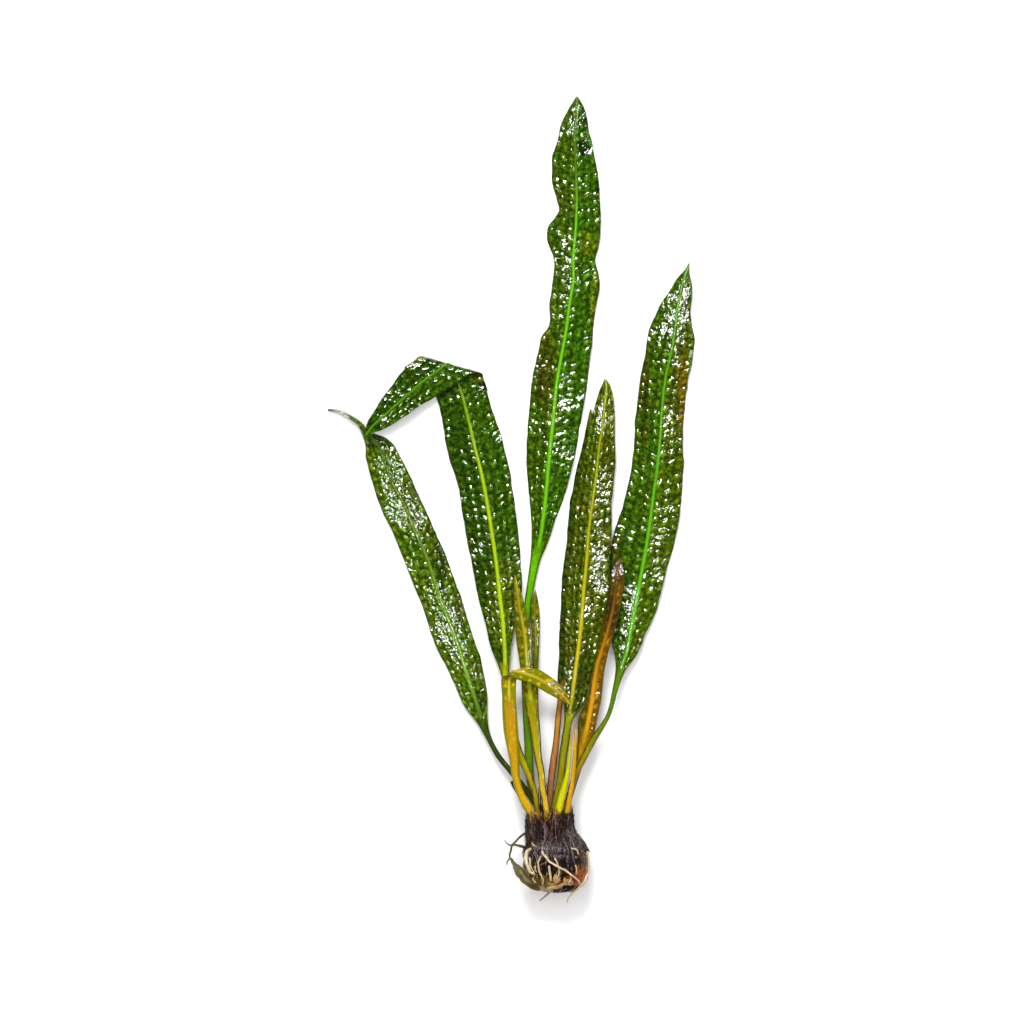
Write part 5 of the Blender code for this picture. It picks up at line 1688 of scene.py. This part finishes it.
ROOTS = [
    Root("root_1", RootFinish.CREAM, (0.6, 0.75, 0.7, 0.4), 0.8,
         [(-10.0, 7.4), (-11.6, 5.8), (-12.0, 3.6), (-11.4, 0.8), (-10.4, -1.6), (-8.9, -2.8)]),
    Root("root_2", RootFinish.CREAM, (0.4, 0.35, 0.2), 0.5,
         [(-6.4, 4.0), (-7.2, 1.2), (-6.8, -0.8), (-5.6, -3.6), (-5.3, -5.6), (-5.6, -7.0)]),
    Root("root_3", RootFinish.CREAM, (0.45, 0.42, 0.4, 0.3), 1.6,
         [(-5.8, 6.6), (-4.4, 4.4), (-2.8, 2.4), (-1.2, 1.2), (1.4, 0.0), (4.6, -1.8), (6.8, -3.5),
          (8.4, -5.2), (9.4, -6.8)]),
    Root("root_4", RootFinish.CREAM, (0.38, 0.34, 0.25), 0.45,
         [(-0.8, 3.8), (0.8, 1.0), (1.2, -1.6), (0.6, -3.6), (0.3, -5.2)]),
    Root("root_5", RootFinish.CREAM, (0.45, 0.45, 0.3), 0.5,
         [(-2.8, 0.8), (-2.8, -0.8), (-2.3, -3.6), (-2.2, -5.6)]),
    Root("root_6", RootFinish.CREAM, (0.35, 0.45, 0.45, 0.4, 0.2), 0.7,
         [(12.4, 6.2), (12.9, 4.4), (13.2, 1.5), (12.8, -2.2), (11.4, -5.2), (8.8, -8.5),
          (6.1, -10.9, 16.0), (5.1, -12.6, 13.6), (4.2, -14.7, 11.6)]),
    Root("root_7", RootFinish.TAN, (0.5, 0.8, 0.7, 0.4), 1.7,
         [(-4.4, -9.0), (-2.8, -8.4), (0.8, -7.6), (2.8, -6.4), (4.4, -4.6)]),
    Root("root_8", RootFinish.TAN, (0.4, 0.35, 0.2), 0.0,
         [(-2.6, -10.6, 13.2), (-3.8, -11.4, 12.7), (-5.4, -12.8, 11.6), (-6.6, -14.0, 10.6)]),
    Root("root_9", RootFinish.OLIVE, (0.5, 0.42, 0.42, 0.25), 0.0,
         [(-12.0, 13.3, 13.0), (-15.2, 10.9, 12.6), (-17.6, 8.0, 12.0), (-18.3, 5.2, 11.4),
          (-18.6, 3.2, 11.0), (-19.3, 2.0, 10.6), (-19.6, 0.2, 10.2)]),
    Root("root_10", RootFinish.OLIVE, (0.6, 0.55, 0.35, 0.18), 0.0,
         [(-12.6, 7.6, 15.2), (-16.0, 8.4, 15.0), (-18.2, 8.6, 14.4), (-20.8, 10.4, 13.4)]),
]

# Places of the thick root: x, y and radius
FLESHY_ROOT = [(-18.2, 3.4, 0.5), (-17.0, 1.2, 0.9), (-15.0, -1.2, 1.5), (-13.0, -4.0, 1.9),
               (-10.8, -6.4, 1.8), (-8.4, -8.2, 1.3), (-6.4, -9.2, 0.8)]

# Places of the pale strands: x and y
PALE_STRANDS = [
    [(6.0, 7.6), (8.2, 6.9), (8.9, 4.9)], [(7.6, 1.0), (8.1, -1.0), (7.8, -2.9)],
    [(-8.2, 0.5), (-8.4, -0.8), (-7.7, -2.2)], [(-9.7, 10.0), (-9.0, 8.8), (-7.8, 8.0)],
    [(-10.5, 3.8), (-10.2, 0.4), (-8.5, -2.9)], [(-9.3, -4.2), (-8.9, -5.6), (-8.0, -6.4)],
    [(3.4, -4.4), (3.0, -5.6), (3.6, -6.8)], [(5.8, -3.9), (5.6, -5.4), (4.8, -6.4)],
]


@dataclass
class Roots:
    """All the roots on the tuber, and the fine rootlets and pale strands between them."""

    tuber: Tuber
    rootlets: int = 30
    strand_points: int = 20

    def fleshy(self) -> Root:
        """Give the thick root low on the left, whose points stand off by its own radius."""
        points = [self.tuber.over(x, y, 1.3 * radius + 0.2) for x, y, radius in FLESHY_ROOT]
        return Root("fleshy_root", RootFinish.OLIVE, tuple(r for _, _, r in FLESHY_ROOT), 0.0, points)

    def fine(self) -> Skin:
        """Scatter short, thin, curled rootlets over the tuber's lower half.

        A rootlet is a line down the tuber's upper side, turned about the axis by noise.

        Returns:
            The rootlets.
        """
        pick = np.random.default_rng(21)
        count = self.rootlets
        along = np.linspace(0.0, 1.0, 14)[None]
        turn = pick.uniform(0.14 * pi, 0.86 * pi, (count, 1))
        start = pick.uniform(-8.5, 3.0, (count, 1))
        length = pick.uniform(1.5, 6.0, (count, 1))
        y = np.maximum(start - length * along, -10.2)
        own = np.arange(count)[:, None] * 3.7
        turn = turn + 0.16 * ripple(y / 2.6, own, 1.0)
        skirt = 0.95 * smooth(-2.5, 1.5, y)
        reach = self.tuber.reach(y) + 0.5 + skirt + 0.7 * along * pick.uniform(0.0, 1.0, (count, 1))
        paths = np.stack([reach * np.cos(turn), y + 0.0 * turn,
                          self.tuber.centre_z + reach * np.sin(turn)], axis=-1)
        radii = pick.uniform(0.07, 0.24, (count, 1)) * (1.0 - 0.75 * along**2)
        return Skin(tube_rings(paths, radii, 5), {})

    def strands(self) -> Skin:
        """Lay short pale strands over the tuber, each a thin tube along a cubic curve.

        Returns:
            The strands.
        """
        paths = []
        for number, places in enumerate(PALE_STRANDS):
            points = np.array([self.tuber.over(x, y, 0.3) for x, y in places])
            knots = distances(points)
            at = np.linspace(0.0, knots[-1], self.strand_points)
            crooked = 0.16 * ripple(at[:, None] / 0.8, 5.0 * number + 2.0 * np.arange(3.0), 3.0)
            paths.append(through(knots, points, at) + crooked)
        along = np.linspace(0.0, 1.0, self.strand_points)[None]
        radii = (0.34 - 0.2 * along**2) * np.ones((len(paths), 1))
        return Skin(tube_rings(np.array(paths), radii, 8), {})

    def build(self) -> list[bpy.types.Object]:
        """Make each root in the place of its solid, the rootlets and the pale strands.

        Returns:
            The pieces.
        """
        dressed = {finish: finish.material() for finish in RootFinish}
        pieces = [placed(root.name + "_skin", root.skin(self.tuber), dressed[root.finish], root.name) for root in ROOTS + [self.fleshy()]]
        pieces.append(placed("rootlets", self.fine(), dressed[RootFinish.TAN], ""))
        pieces.append(placed("pale_strands", self.strands(), dressed[RootFinish.CREAM], ""))
        return pieces


# Studio


@dataclass
class Studio:
    """A plain pale floor, soft light and a camera that looks straight down on the plant."""

    middle: tuple[float, float] = (-17.6, 141.2)
    field_width: float = 409.6
    camera_height: float = 4000.0
    floor_half: float = 6000.0
    floor_points: int = 9
    floor_drop: float = 0.1
    lamp_distance: float = 1.5
    sensor_width: float = 36.0

    def floor(self) -> None:
        """Lay a flat square grid just under the plant, with a pale, faintly uneven finish."""
        count = self.floor_points
        side = np.linspace(-self.floor_half, self.floor_half, count) * MM
        x, y = np.meshgrid(side, side, indexing="ij")
        points = np.stack([x, y, np.full_like(x, -self.floor_drop * MM)], axis=-1).reshape(-1, 3)
        index = np.arange(count * count).reshape(count, count)
        quads = np.stack([index[:-1, :-1], index[1:, :-1], index[1:, 1:], index[:-1, 1:]], -1)
        mesh = bpy.data.meshes.new("floor")
        mesh.from_pydata(points.tolist(), [], quads.reshape(-1, 4).tolist())
        board = Board("floor_finish")
        tone = board.mix(board.noise(3.0, 2.0), (0.93, 0.93, 0.93), (0.95, 0.95, 0.95))
        mesh.materials.append(board.finish(tone, 0.9, Specular_IOR_Level=0.1))
        floor = bpy.data.objects.new("floor", mesh)
        bpy.context.scene.collection.objects.link(floor)

    def lamp(self, name: str, bearing: float, rise: float, width: float, watts: float,
             glints_only: bool = False) -> None:
        """Hang a round lamp at the given distance in metres, facing the middle of the plant.

        Args:
            name: Name of the lamp.
            bearing: Direction from the plant, in degrees from +X towards +Y.
            rise: Angle over the floor, in degrees.
            width: Width of the lamp in metres.
            watts: Power.
            glints_only: Whether it shows only in the gloss of the leaves.
        """
        data = bpy.data.lights.new(name, "AREA")
        data.shape, data.size, data.energy = "DISK", width, watts
        lamp = bpy.data.objects.new(name, data)
        turn, lift = np.radians(bearing), np.radians(rise)
        level = self.lamp_distance * np.cos(lift)
        lamp.location = (self.middle[0] * MM + level * np.cos(turn),
                         self.middle[1] * MM + level * np.sin(turn),
                         self.lamp_distance * np.sin(lift))
        lamp.rotation_euler = (0.0, 0.5 * pi - lift, turn)
        lamp.visible_camera = False
        lamp.visible_diffuse = not glints_only
        lamp.visible_glossy = glints_only
        bpy.context.scene.collection.objects.link(lamp)

    def light(self) -> None:
        """Set a broad even light for the colours, one lamp for the relief and some for wet glints."""
        self.lamp("upper_lamp", 100.0, 58.0, 0.5, 17.0)
        self.lamp("upper_glint", 92.0, 50.0, 0.37, 52.0, glints_only=True)
        self.lamp("side_glint", 20.0, 40.0, 0.12, 3.0, glints_only=True)
        data = bpy.data.lights.new("broad_light", "SUN")
        data.energy, data.angle = 3.0, 1.4
        sun = bpy.data.objects.new("broad_light", data)
        sun.visible_glossy = False
        bpy.context.scene.collection.objects.link(sun)
        world = bpy.data.worlds.new("studio")
        world.use_nodes = True
        sky = world.node_tree.nodes["Background"]
        sky.inputs["Color"].default_value = (1.0, 1.0, 1.0, 1.0)
        sky.inputs["Strength"].default_value = 0.04
        bpy.context.scene.world = world

    def camera(self) -> None:
        """Look straight down: the lens is to the sensor as the camera's height is to the field."""
        data = bpy.data.cameras.new("camera")
        data.sensor_width = self.sensor_width
        data.lens = data.sensor_width * self.camera_height / self.field_width
        data.clip_end = 100.0
        camera = bpy.data.objects.new("camera", data)
        camera.location = (self.middle[0] * MM, self.middle[1] * MM, self.camera_height * MM)
        bpy.context.scene.collection.objects.link(camera)
        bpy.context.scene.camera = camera

    def build(self) -> None:
        """Set the studio up, with colours shown as they are."""
        self.floor()
        self.light()
        self.camera()
        bpy.context.scene.view_settings.view_transform = "Standard"


def main() -> None:
    """Build the studio and every piece of the plant."""
    logging.basicConfig(level=logging.INFO, format="%(name)s %(message)s")
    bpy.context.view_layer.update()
    Studio().build()
    tuber = Tuber()
    tuber.build()
    Collar(tuber).build()
    Roots(tuber).build()
    for leaf in LEAVES:
        leaf.build()


if __name__ == "__main__":
    main()
